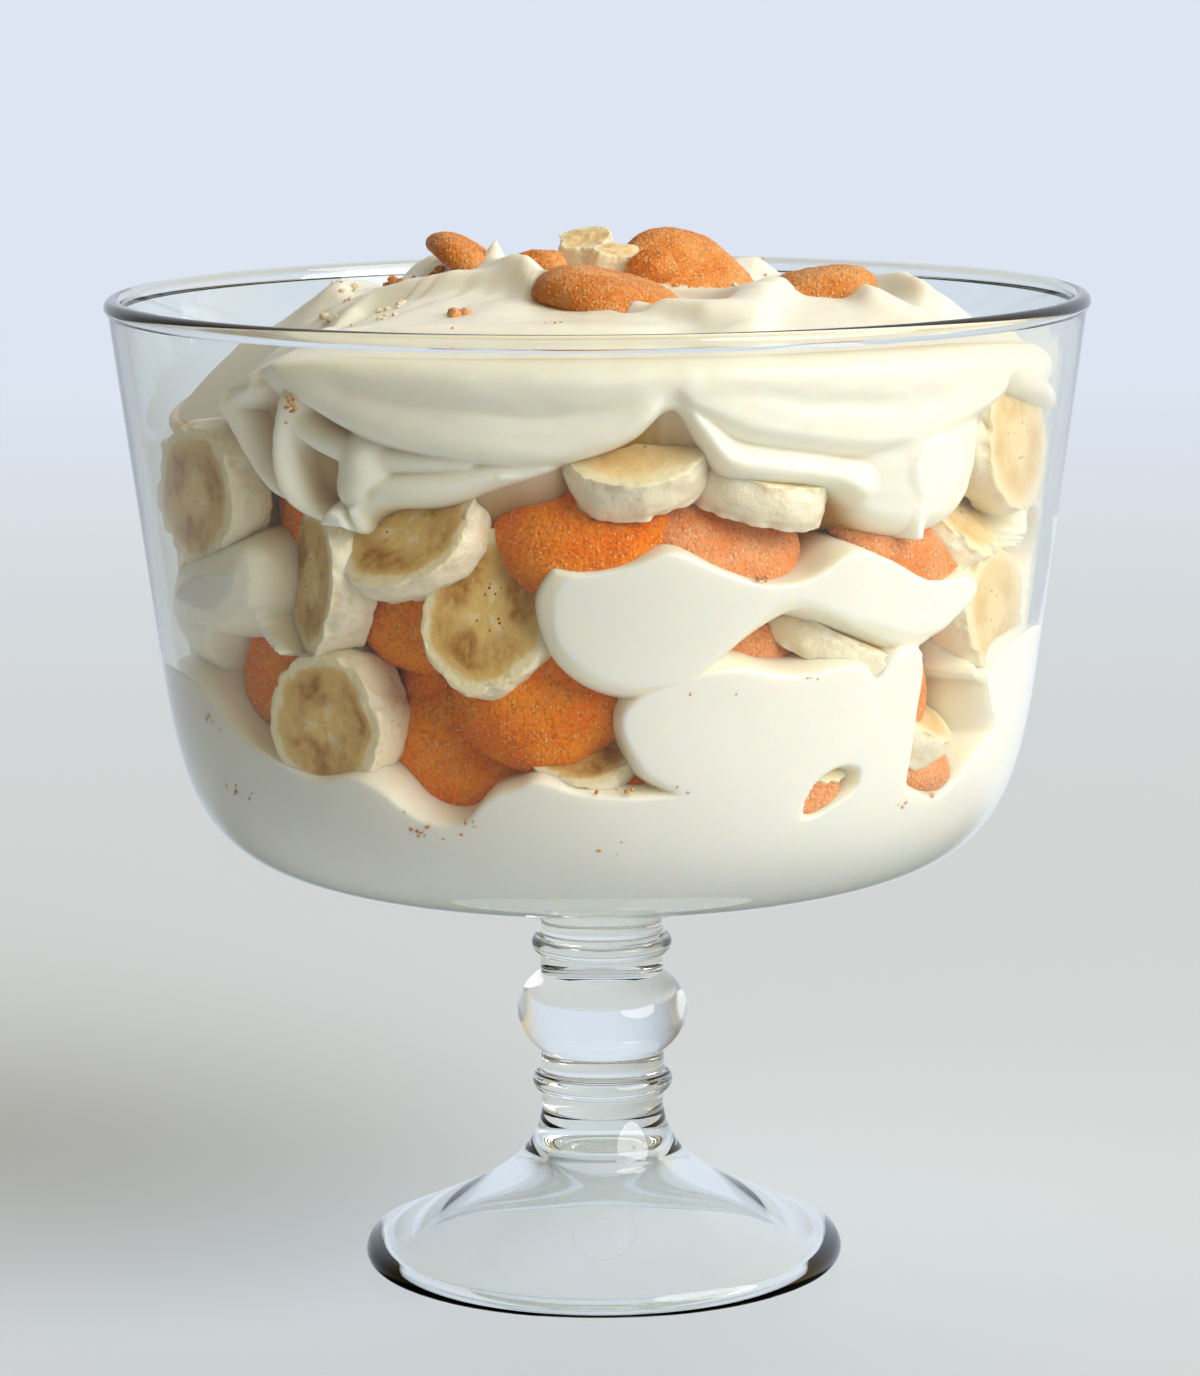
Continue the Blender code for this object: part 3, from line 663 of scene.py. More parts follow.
# What lies against the glass, the same as in the solids
AT_GLASS = (
    Piece("banana_lower_2", BANANA, -14.5, 162, 36, 10, 12, 0, 75, 0.8),
    Piece("wafer_upper_3", WAFER, -1.5, 183, 40, 12, 42, 0),
    Piece("banana_upper_5", BANANA, 4.8, 196, 33, 10.5, 52, -8),
    Piece("banana_upper_2", BANANA, -60, 183.5, 41, 9, -7, 0, 28, 0.74),
    Piece("banana_upper_4", BANANA, -25, 177.5, 34, 11, 26, -6, 28, 0.74),
    Piece("banana_upper_3", BANANA, -39.5, 167.5, 34, 10, 0, -28, 65, 0.8),
    Piece("wafer_upper_4", WAFER, 17.5, 179, 38, 11, 45, 18, inset=0.5),
    Piece("banana_upper_6", BANANA, 22.5, 188.5, 33, 9.5, 72, 30),
    Piece("wafer_upper_5", WAFER, 47, 177, 38, 11, 42, 16),
    Piece("banana_upper_8", BANANA, 64, 193, 38, 9, 0, 0, -30, 0.8),
    Piece("banana_upper_7", BANANA, 58, 177, 30, 9.5, 40, 10, inset=1),
    Piece("banana_upper_1", BANANA, -76, 180, 32, 9, -7, -20, inset=8),
    Piece("wafer_upper_1", WAFER, -43, 183, 30, 10, 5, 0, inset=10),
    Piece("wafer_upper_2", WAFER, -28, 164, 34, 11, 5, 0, inset=10),
    Piece("banana_lower_1", BANANA, -39.5, 136.8, 32, 12, -4, 6, 90, 0.92),
    Piece("wafer_lower_3", WAFER, -8.5, 147.5, 39, 12, 12, 0, inset=3),
    Piece("wafer_lower_4", WAFER, -20, 131.5, 38, 11, 2, 0, inset=8),
    Piece("wafer_lower_2", WAFER, -24, 148, 28, 10, 10, 0, inset=14),
    Piece("banana_lower_3", BANANA, -2.5, 131.5, 25, 9, 45, 0, inset=1),
    Piece("wafer_lower_5", WAFER, 4.5, 128.5, 26, 9, 55, 0, inset=3),
    Piece("wafer_lower_1", WAFER, -54, 141, 30, 10, -5, 0, inset=6),
    Piece("wafer_lower_6", WAFER, 22, 143, 37, 11, -4, 0, inset=9),
    Piece("banana_lower_4", BANANA, 37, 154, 36, 8, 62, 48),
    Piece("wafer_lower_7", WAFER, 43.5, 145, 34, 10, 20, 0, inset=3),
    Piece("banana_lower_5", BANANA, 62, 157, 31, 9, -4, 0, -30, 0.88),
    Piece("wafer_lower_8", WAFER, 76, 160, 30, 10, 0, 0, inset=5),
    Piece("banana_base_1", BANANA, 50.5, 135, 28, 9, 48, 25),
    Piece("wafer_base_1", WAFER, 54, 127.5, 30, 8, 62, 15),
    Piece("wafer_base_2", WAFER, 51, 119.5, 24, 9, 35, 0),
    Piece("wafer_base_3", WAFER, 31.5, 121.5, 16, 8, 5, 0),
    Piece("banana_base_2", BANANA, 31.5, 129.5, 18, 7, 35, 0, inset=2),
)
# What lies on the mound, the same as in the solids
ON_TOP = (
    Piece("wafer_top_1", WAFER, 96, 0, 32, 8.5, 50, centre=(-24, 4, 225.3)),
    Piece("wafer_top_2", WAFER, 90, 0, 38, 10.5, 73, centre=(5, -40, 223.8)),
    Piece("wafer_top_3", WAFER, 42, 0, 36, 10, 42, centre=(22.5, 6, 222.5)),
    Piece("wafer_top_4", WAFER, -90, 0, 30, 8, 78, centre=(46.5, -10, 223.3)),
    Piece("banana_top_1", BANANA, -20, 0, 13, 7, 65, oval=0.8, centre=(-2, 14, 230)),
    Piece("banana_top_2", BANANA, 30, 0, 11, 6, 70, oval=0.8, centre=(3.4, -6, 229)),
    Piece("wafer_top_5", WAFER, -20, 0, 14, 7, 60, oval=0.7, centre=(-12.8, -10, 228.5)),
    Piece("wafer_top_6", WAFER, 10, 0, 11, 6, 60, oval=0.7, centre=(12, -12, 229)),
)


def back_pieces() -> list[Piece]:
    """Lays out the side away from the viewer, by the same seeded rule as the solids.

    Returns:
        Two bands of six slices and wafers.
    """
    draw = random.Random(7)
    pieces = []
    for band, height, count in (("upper", 182.0, 6), ("lower", 145.0, 6)):
        for i in range(count):
            kind = BANANA if (i + (band == "lower")) % 2 else WAFER
            azimuth = 97.0 + 161.0 * (i + 0.5) / count + draw.uniform(-5, 5)
            across = draw.uniform(29, 33) if kind is BANANA else 38.0
            z = height + draw.uniform(-7, 7)
            pieces.append(Piece(
                f"{kind.value}_back_{band}_{i + 1}", kind, azimuth, z, across,
                9.5 if kind is BANANA else 11.0,
                lean=draw.uniform(-5, 46), turn=draw.uniform(-24, 24), roll=draw.uniform(0, 90),
                oval=draw.uniform(0.82, 0.95) if kind is BANANA else 1.0))
    return pieces


@dataclass
class Placed:
    """A piece with its place settled, and what a ray from the glass inwards meets of it.

    Args:
        piece: the piece.
        centre: its centre, in millimetres.
        turn: how it is turned.
    """

    piece: Piece
    centre: Vector
    turn: Matrix

    @classmethod
    def settle(cls, piece: Piece, bowl: TrifleBowl, gap: float = 0.75) -> "Placed":
        """Pushes a piece inwards until it clears the glass, or takes its given centre.

        Args:
            piece: the piece.
            bowl: the bowl that it lies in.
            gap: how far it stays off the glass, in millimetres.

        Returns:
            The placed piece.
        """
        azimuth = piece.azimuth + piece.turn
        lean = math.radians(piece.lean)
        normal = direction(azimuth) * math.cos(lean) + Vector((0, 0, math.sin(lean)))
        angle = math.radians(azimuth)
        right = Vector((math.cos(angle), math.sin(angle), 0.0))
        turn = Matrix((right, normal.cross(right), normal)).transposed()
        turn = turn @ Matrix.Rotation(math.radians(piece.roll), 3, "Z")
        if piece.centre is not None:
            return cls(piece, Vector(piece.centre), turn)
        rings = ((0.9, -0.5), (1.0, -0.3), (1.0, 0.3), (0.9, 0.5))
        if piece.kind is WAFER:
            rings = ((0.9, -0.5), (1.0, -0.22), (0.86, 0.22), (0.5, 0.45))
        points = []
        for radius_share, height_share in rings:
            for i in range(20):
                step = math.tau * i / 20
                radius = radius_share * piece.across / 2
                points.append(turn @ Vector((radius * math.cos(step),
                                             radius * piece.oval * math.sin(step),
                                             height_share * piece.thick)))
        way = direction(piece.azimuth)
        # Halves the range of radii until the piece just clears the glass
        low, high = 40.0, bowl.rim_radius
        for _ in range(24):
            radius = (low + high) / 2
            spots = [way * radius + Vector((0, 0, piece.height)) + p for p in points]
            if all(math.hypot(*s.xy) < float(bowl.inside_radius(s.z)) - gap for s in spots):
                low = radius
            else:
                high = radius
        return cls(piece, way * (low - piece.inset) + Vector((0, 0, piece.height)), turn)

    def seen_from_glass(self, azimuth: np.ndarray, height: np.ndarray, wall: np.ndarray,
                        reach: float = 45.0) -> tuple[np.ndarray, np.ndarray]:
        """Follows rays from the glass straight in, past the piece.

        Args:
            azimuth: each ray's azimuth in degrees.
            height: each ray's height in millimetres.
            wall: the glass's inner radius there.
            reach: how deep a ray goes, in millimetres.

        Returns:
            How near each ray comes, 1 at the piece's outline, and how deep that nearest place is.
        """
        angle = np.radians(azimuth)
        out = np.stack([np.sin(angle), -np.cos(angle), np.zeros_like(angle)], axis=-1)
        start = out * wall[..., None]
        start[..., 2] = height
        half = self.piece.across / 2
        radii = np.array([half, half * self.piece.oval, self.piece.thick * 0.62])
        back = np.array(self.turn.transposed())
        origin = (start - np.array(self.centre)) @ back.T / radii
        ray = -out @ back.T / radii
        a = (ray * ray).sum(-1)
        b = (origin * ray).sum(-1)
        c = (origin * origin).sum(-1)
        deep = -b / a
        near = np.sqrt(np.maximum(c - b * b / a, 0.0))
        return np.where((deep > 0) & (deep < reach), near, 9.0), deep


def rounded(points: object, steps: int = 5, closed: bool = True) -> np.ndarray:
    """Draws a smooth curve through flat points.

    Args:
        points: the points, as pairs.
        steps: the number of steps from one to the next.
        closed: whether the curve comes back to its first point.

    Returns:
        The curve's points, one row each.
    """
    spots = np.array(points, dtype=float)
    before, after, later = (np.roll(spots, shift, axis=0) for shift in (1, -1, -2))
    if not closed:
        before[0] = spots[0]
        after[-1] = later[-1] = later[-2] = spots[-1]
    parts = []
    for t in np.arange(steps) / steps:
        parts.append(0.5 * (2 * spots + (after - before) * t
                            + (2 * before - 5 * spots + 4 * after - later) * t ** 2
                            + (3 * spots - before - 3 * after + later) * t ** 3))
    line = np.stack(parts, axis=1).reshape(-1, 2)
    return line if closed else line[:1 - steps]


@dataclass(frozen=True)
class Lobe:
    """A rounded lobe of soft food, pressed towards the glass.

    Args:
        azimuth, height: its middle, in degrees and millimetres.
        wide, tall: half its width in degrees and half its height in millimetres.
        near: how far its middle stays off the glass; a negative one presses flat against it.
        steep: how fast it falls away from its middle.
        roll: its turn in degrees, counted anticlockwise from outside.
        layer: where it lies against the pieces.
    """

    azimuth: float
    height: float
    wide: float
    tall: float
    near: float
    steep: float
    roll: float = 0.0
    layer: Layer = Layer.UNDER

    def depth(self, azimuth: np.ndarray, height: np.ndarray) -> np.ndarray:
        """Works out how deep behind the glass the lobe's surface lies.

        Args:
            azimuth, height: each place, in degrees and millimetres.

        Returns:
            The depth in millimetres.
        """
        x = ((azimuth - self.azimuth + 180) % 360 - 180) * DEGREE
        y = height - self.height
        turn = math.radians(self.roll)
        along = (x * math.cos(turn) + y * math.sin(turn)) / (self.wide * DEGREE)
        across = (y * math.cos(turn) - x * math.sin(turn)) / self.tall
        return self.near + self.steep * (along ** 2 + across ** 2)


@dataclass(frozen=True)
class Fold:
    """A rounded fold of cream along a line, which may be steeper on its lower side.

    Args:
        crest: its highest line, as (azimuth, height) points.
        near: how far its crest stays off the glass, in millimetres.
        above, below: half its width on its upper and lower side, in millimetres.
        drop: how deep it falls at that width.
    """

    crest: tuple
    near: float
    above: float
    below: float
    drop: float = 5.0

    def depth(self, azimuth: np.ndarray, height: np.ndarray) -> np.ndarray:
        """Works out how deep behind the glass the fold's surface lies.

        Args:
            azimuth, height: each place, in degrees and millimetres.

        Returns:
            The depth in millimetres.
        """
        x = ((azimuth + 180) % 360 - 180) * DEGREE
        best = np.full_like(height, 1e9)
        rise = np.zeros_like(height)
        crest = rounded([(a * DEGREE, z) for a, z in self.crest], 3, closed=False)
        for (x0, z0), (x1, z1) in zip(crest, crest[1:]):
            run = np.array([x1 - x0, z1 - z0])
            share = np.clip(((x - x0) * run[0] + (height - z0) * run[1]) / (run @ run), 0.0, 1.0)
            dx = x - x0 - share * run[0]
            dz = height - z0 - share * run[1]
            far = dx * dx + dz * dz
            nearer = far < best
            best = np.where(nearer, far, best)
            side = (dz * run[0] - dx * run[1]) / math.hypot(*run)
            rise = np.where(nearer, side / np.sqrt(far + 0.01), rise)
        share = np.clip(rise * 0.5 + 0.5, 0.0, 1.0)
        width = self.below + (self.above - self.below) * share * share * (3 - 2 * share)
        return self.near + self.drop * best / (width * width)


@dataclass(frozen=True)
class Patch:
    """Soft food pressed against the glass inside an outline, with a rolled margin round it.

    Args:
        outline: its flat face's outline, as (azimuth, height) points.
        near: how far the face stays off the glass, in millimetres.
        curl: the margin's width, over which it falls away by the roll's depth.
        layer: where it lies against the pieces.
        roll_depth: how deep the margin falls over its width.
        swell: how much nearer each millimetre from the outline inwards lies, at most roll_depth's.
    """

    outline: tuple
    near: float = 0.0
    curl: float = 3.4
    layer: Layer = Layer.UNDER
    roll_depth: float = 4.0
    swell: float = 0.3

    def depth(self, azimuth: np.ndarray, height: np.ndarray) -> np.ndarray:
        """Works out how deep behind the glass the patch's surface lies.

        Args:
            azimuth, height: each place, in degrees and millimetres.

        Returns:
            The depth in millimetres, less than none well inside the outline.
        """
        x = ((azimuth + 180) % 360 - 180) * DEGREE
        curve_points = rounded([(a * DEGREE, z) for a, z in self.outline])
        nearest = np.full_like(height, 1e9)
        inside = np.zeros(height.shape, dtype=bool)
        for (x0, z0), (x1, z1) in zip(curve_points, np.roll(curve_points, -1, axis=0)):
            run = np.array([x1 - x0, z1 - z0])
            share = ((x - x0) * run[0] + (height - z0) * run[1]) / max(run @ run, 1e-9)
            share = np.clip(share, 0.0, 1.0)
            far = (x - x0 - share * run[0]) ** 2 + (height - z0 - share * run[1]) ** 2
            nearest = np.minimum(nearest, far)
            if z0 != z1:
                crossing = x0 + (height - z0) / (z1 - z0) * run[0]
                inside ^= ((z0 > height) != (z1 > height)) & (x < crossing)
        away = np.sqrt(nearest)
        face = -self.swell * np.minimum(away, self.roll_depth)
        return self.near + np.where(inside, face, self.roll_depth * (away / self.curl) ** 2)


def touching(azimuth: float, height: float, wide: float, tall: float, steep: float = 6.0,
             roll: float = 0.0) -> Lobe:
    """Returns a lobe whose flat patch on the glass has this half width and half height."""
    return Lobe(azimuth, height, wide, tall, -steep, steep, roll)


def soft_least(first: np.ndarray, second: np.ndarray, blend: float) -> np.ndarray:
    """Returns the lesser of two depths, rounded over where they are alike."""
    share = np.clip(0.5 + 0.5 * (second - first) / blend, 0.0, 1.0)
    return second + (first - second) * share - blend * share * (1 - share)


def soft_most(first: np.ndarray, second: np.ndarray, blend: float) -> np.ndarray:
    """Returns the greater of two depths, rounded over where they are alike."""
    return -soft_least(-first, -second, blend)


def lip_depth(rise: np.ndarray) -> np.ndarray:
    """Returns how deep a layer's rounded upper lip lies, this far above its edge."""
    return np.where(rise > 0, 0.9 * rise + 1.0 * rise * rise, rise)


def wavy(points: tuple, azimuth: np.ndarray) -> np.ndarray:
    """Follows an edge round the bowl, as a smooth closed curve through its points.

    Args:
        points: the edge's points, as (azimuth, height).
        azimuth: where to follow it, in degrees.

    Returns:
        Its height there, in millimetres.
    """
    turned = (azimuth + 180.0) % 360.0 - 180.0
    places = [a for a, _ in points]
    levels = [z for _, z in points]
    a = np.array([places[-1] - 360] + places + [places[0] + 360, places[1] + 360], dtype=float)
    z = np.array([levels[-1]] + levels + [levels[0], levels[1]], dtype=float)
    slope = (z[2:] - z[:-2]) / (a[2:] - a[:-2])
    slope = np.concatenate([[0.0], slope, [0.0]])
    i = np.clip(np.searchsorted(a, turned, side="right") - 1, 1, len(points))
    run = a[i + 1] - a[i]
    t = np.clip((turned - a[i]) / run, 0.0, 1.0)
    return ((1 + 2 * t) * (1 - t) ** 2 * z[i] + t * (1 - t) ** 2 * run * slope[i]
            + t * t * (3 - 2 * t) * z[i + 1] + t * t * (t - 1) * run * slope[i + 1])


def turned_grid(rows: int, columns: int,
                crowding: float = 0.0) -> tuple[bmesh.types.BMesh, np.ndarray, np.ndarray]:
    """Rolls a grid into a closed tube, whose columns crowd together at the front.

    Args:
        rows: the number of rows; the first and the last lie on the axis.
        columns: the number of steps round.
        crowding: from 0, even, to 1, all at the front.

    Returns:
        The bmesh, and each vertex's azimuth in degrees and row.
    """
    bm = bmesh.new()
    bmesh.ops.create_grid(bm, x_segments=columns, y_segments=rows - 1, size=1.0)
    for vert in bm.verts:
        row = round((vert.co.y + 1) / 2 * (rows - 1))
        around = (vert.co.x + 1) * math.pi
        radius = 0.0 if row in (0, rows - 1) else 1.0
        vert.co = (radius * math.sin(around), -radius * math.cos(around), row)
    bmesh.ops.remove_doubles(bm, verts=bm.verts, dist=0.0001)
    places = np.array([v.co for v in bm.verts])
    even = np.arctan2(places[:, 0], -places[:, 1])
    azimuth = np.degrees(even - crowding * np.sin(even))
    return bm, azimuth, np.rint(places[:, 2]).astype(int)


def shaped_mesh(name: str, bm: bmesh.types.BMesh, azimuth: np.ndarray, radius: np.ndarray,
                height: np.ndarray, depth: np.ndarray) -> bpy.types.Mesh:
    """Moves a grid's vertices to their places and keeps how deep each lies behind the glass.

    Args:
        name: the mesh's name.
        bm: the grid, which is freed.
        azimuth, radius, height: each vertex's place, in degrees and millimetres.
        depth: how far it lies behind the glass, in millimetres.

    Returns:
        The mesh, in metres, with its attribute "depth".
    """
    angle = np.radians(azimuth)
    places = np.stack([np.sin(angle) * radius, -np.cos(angle) * radius, height], axis=-1) * MM
    for vert, place in zip(bm.verts, places):
        vert.co = place
    bmesh.ops.recalc_face_normals(bm, faces=bm.faces)
    mesh = bpy.data.meshes.new(name)
    bm.to_mesh(mesh)
    bm.free()
    attribute = mesh.attributes.new("depth", "FLOAT", "POINT")
    attribute.data.foreach_set("value", depth.astype(np.float32))
    return mesh


def rolling(azimuth: np.ndarray, height: np.ndarray, size: float, seed: float) -> np.ndarray:
    """Gives smooth noise round the bowl.

    Args:
        azimuth, height: each place, in degrees and millimetres.
        size: how far apart the noise's features are, in millimetres.
        seed: a number that picks one such noise.

    Returns:
        The noise, about -1 to 1.
    """
    angle = np.radians(azimuth)
    spots = np.stack([np.sin(angle) * WALL / size, -np.cos(angle) * WALL / size,
                      height / size + seed], axis=-1)
    return np.array([noise.noise(Vector(spot)) for spot in spots])


@dataclass
class PuddingBody:
    """The lower and the middle pudding, one soft mass with lobes pressed against the glass.

    Args:
        bowl: the bowl that it fills.
        columns, crowding: its steps round, and how much they crowd together at the shown side.
        wall_rows, floor_rows: its rows up the wall and over the bowl's floor.
        bite: how far it reaches into the glass, so that no air gap shows.
        background: how deep behind the glass it lies between the lobes.
        shown: the azimuth where the side that the photograph shows ends, on both sides.
        blend: over how many degrees it goes over to the far side's even form.
        wall_start, wall_blend: where the wall's forms start, and over what height they come up.
        top: where it ends, under the cream.
        pocket_lip, pocket_depth: the width of a pocket's edge as a share of the piece, and how deep
            it goes at most.
        ragged: how uneven the pockets' outlines are at the far side.
        lower: how far below its line the shelf lies.
        edge: the lower pudding's upper edge, as (azimuth, height) points.
        lobes: the forms that stand nearer the glass.
        shelf: the line that the upper wafers rest on.
        windows: outlines of the openings in it.
        window_depth: how deep they are at most.
    """

    bowl: TrifleBowl
    columns: int = 540
    crowding: float = 0.45
    wall_rows: int = 146
    floor_rows: int = 20
    bite: float = 0.15
    background: float = 17.0
    shown: float = 82.0
    blend: float = 14.0
    wall_start: float = 107.5
    wall_blend: float = 6.0
    top: float = 187.0
    pocket_lip: float = 0.07
    pocket_depth: float = 24.0
    ragged: float = 0.16
    lower: float = 1.6
    window_depth: float = 6.0
    edge: tuple = (
        (-180, 134), (-140, 132), (-100, 137), (-75, 142), (-64, 141), (-56, 133), (-49, 128.5),
        (-41, 124.5), (-33, 126), (-29.2, 123.4), (-26.4, 119.8), (-22.8, 117.2), (-18.4, 117.6),
        (-14.8, 122.7), (-11.3, 125), (-7.9, 127.3), (-2.7, 125.2), (5.2, 124), (27, 125),
        (44, 121), (52, 117.5), (60, 126), (75, 140), (120, 136),
    )
    lobes: tuple = (
        Lobe(-70, 155, 16, 11, 0.6, 4.5),
        Lobe(-50, 165, 13, 13, 1.0, 4.0),
        Lobe(-42, 153, 15, 5.5, 1.6, 4.5),
        Lobe(-24, 158, 3.6, 5.0, 2.5, 6.0),
        Lobe(-27, 149, 2.4, 6.5, 3.5, 6.0),
        Lobe(-15, 134.5, 3.6, 5.5, 3.0, 6.0),
        Patch(((-4.8, 164), (-5.2, 160.3), (-4.1, 156.1), (-1.6, 152.9), (2.1, 149.4), (5.5, 148.6),
               (9.8, 149.4), (12.7, 152), (16, 156.4), (19, 161), (20.8, 165.4), (20.4, 168.6),
               (17, 171), (11.5, 171.4), (8.2, 169.8), (6.6, 167.4), (2.5, 167.4), (-2, 166.6)),
              layer=Layer.SHELF, curl=2.2),
        Patch(((33.6, 163.8), (35, 166.4), (39, 167.2), (45, 166.6), (51.5, 165), (53.4, 162.4),
               (50, 158.2), (46.8, 155.8), (42.6, 157.2), (38, 160.6)), layer=Layer.SHELF, curl=3.0),
        Patch(((-2.6, 175), (-5.6, 171.5), (-7, 166.5), (-6.6, 160), (-4.5, 153), (0, 148),
               (6, 146.6), (11.6, 150.6), (16.8, 157), (23.6, 163.4), (29, 161.6), (34, 157.6), (42.3, 152.6),
               (47.5, 155.8), (52.5, 161), (50, 170), (44, 172), (36, 178), (27, 176), (18, 178),
               (8.7, 180), (1.5, 178.5)), near=0.8, curl=1.7, layer=Layer.SHELF),
        Patch(((5.4, 145.2), (3.3, 142.5), (2.9, 139.4), (3.4, 136.2), (4.3, 132.7), (5.5, 129.4),
               (8, 126.7), (10.6, 124.5), (20, 116), (43.6, 116), (44, 124), (44.2, 137), (44, 150.2),
               (40.5, 151.6), (38.2, 148), (36.8, 144.8), (35, 149), (31.4, 149.6), (26.5, 148.4),
               (22, 149), (18.3, 150.8), (14.4, 150.6), (10.5, 148.2)), layer=Layer.OVER, curl=1.6),
        Patch(((58, 150), (61, 156), (72, 158), (84, 150), (84, 124), (68, 120), (62.5, 127),
               (61.5, 133), (59, 140)), near=0.5, curl=2.4),
        Patch(((60.5, 147), (66, 149.5), (76, 151), (90, 147), (90, 124), (70, 120), (64, 127),
               (62.5, 133), (60, 140)), near=0.4, curl=2.6, layer=Layer.OVER),
        Patch(((-66, 164), (-59, 168), (-52.5, 171), (-49, 171.5), (-48.6, 167), (-50, 162),
               (-53, 158.5), (-57, 156.5), (-63, 156), (-70, 158)),
              near=0.9, curl=3.2, layer=Layer.OVER),
        Patch(((46, 151), (53, 153), (57, 149), (58, 143), (60, 137), (57, 133.5), (50, 139.5),
               (46, 141)), near=1.6, curl=2.0),
        touching(82, 146, 18, 26, 6.0),
        Lobe(66, 172, 14, 8, 1.2, 5.0),
    )
    shelf: tuple = (
        (-180, 175), (-60, 175), (-25, 179), (-13, 178.4), (-7.1, 174.8), (-2, 173.4),
        (3, 174.6), (8.7, 177.6), (15, 173.4), (20.7, 170.0), (26, 170.8), (32, 176), (37.5, 173),
        (44, 168), (50, 167.5), (60, 170), (100, 175),
    )
    windows: tuple = (
        ((27.4, 119.4), (28.8, 117.4), (33.0, 120.4), (35.4, 123.6), (35.2, 127.0), (33.0, 128.2),
         (30.6, 127.2), (28.6, 124.6)),
    )

    def depth(self, azimuth: np.ndarray, height: np.ndarray, pieces: list[Placed]) -> np.ndarray:
        """Works out how far the pudding's surface lies behind the glass.

        Args:
            azimuth: each place's azimuth in degrees.
            height: its height in millimetres.
            pieces: what lies in the pudding.

        Returns:
            The depth, 0 where the pudding is flat against the glass.
        """
        uneven = rolling(azimuth, height, 17.0, 3.0)
        over = lip_depth(height - wavy(self.edge, azimuth) + 0.6 * uneven)
        shelf = under = np.full_like(height, self.bowl.rim_radius)
        for lobe in self.lobes:
            found = lobe.depth(azimuth, height) + 0.5 * uneven
            if lobe.layer is Layer.OVER:
                over = soft_least(over, found, 1.0)
            elif lobe.layer is Layer.SHELF:
                shelf = soft_least(shelf, found, 1.0)
            else:
                under = soft_least(under, found, 1.6)
        rest = height - wavy(self.shelf, azimuth) + self.lower + 0.3 * uneven
        shelf = soft_most(shelf, lip_depth(rest * 1.6), 0.6)
        over = soft_least(over, shelf, 0.8)
        behind = 3.6 * (rolling(azimuth, height, 21.0, 9.0) - 0.05)
        away = np.clip((np.abs(azimuth) - self.shown) / self.blend, 0, 1)
        under = under * (1 - away) + np.minimum(under, behind) * away
        over = over + 30.0 * away
        under = soft_least(under, np.full_like(under, self.background) + 1.5 * uneven, 3.0)
        wall = self.bowl.inside_radius(height)
        ragged = self.ragged * rolling(azimuth, height, 8.0, 17.0) * away
        for placed in pieces:
            near, deep = placed.seen_from_glass(azimuth, height, wall)
            near = near + ragged
            lip = np.clip((1 + self.pocket_lip - near) / self.pocket_lip, 0.0, 1.0)
            under = np.maximum(under, np.minimum(deep + 1.0, self.pocket_depth) * lip)
        depth = soft_least(under, over, 0.8)
        for outline in self.windows:
            within = -Patch(outline).depth(azimuth, height)
            open_share = np.clip(within / 0.5, 0.0, 1.0)
            depth = np.maximum(depth, open_share * np.minimum(under, self.window_depth))
        risen = np.clip((height - self.wall_start) / self.wall_blend, 0.0, 1.0)
        return np.maximum(depth, 0.0) * risen

    def build(self, finish: bpy.types.Material, pieces: list[Placed]) -> bpy.types.Object:
        """Builds the pudding around its pieces.

        Args:
            finish: the pudding's finish.
            pieces: what lies in it.

        Returns:
            The new piece.
        """
        floor = [p for p in self.bowl.inside[1:] if p[1] < self.wall_start - 0.5]
        floor = [floor[int(i)] for i in np.linspace(0, len(floor) - 1, self.floor_rows)]
        heights = np.linspace(self.wall_start + 0.1, self.top, self.wall_rows)
        # The radii of its upper side, which lies under the cream
        inner = (84.0, 60.0, 0.0)
        rows = 1 + len(floor) + len(heights) + len(inner)
        bm, azimuth, row = turned_grid(rows, self.columns, self.crowding)
        radius = np.zeros(len(row))
        height = np.full(len(row), self.bowl.inside[0][1] - self.bite)
        for i, (r, z) in enumerate(floor):
            radius[row == i + 1] = r + self.bite
            height[row == i + 1] = z - self.bite * 0.5
        first = 1 + len(floor)
        walls = (row >= first) & (row < first + len(heights))
        height[walls] = heights[row[walls] - first]
        depth = np.zeros(len(row))
        depth[walls] = self.depth(azimuth[walls], height[walls], pieces)
        radius[walls] = self.bowl.inside_radius(height[walls]) + self.bite - depth[walls]
        for i, r in enumerate(inner):
            here = row == first + len(heights) + i
            radius[here] = r
            height[here] = self.top - 1.0
            depth[here] = self.background
        mesh = shaped_mesh("pudding_body", bm, azimuth, radius, height, depth)
        return finish_piece("pudding_body", mesh, finish,
                            ("pudding_lower", "pudding_middle"), 180.0)


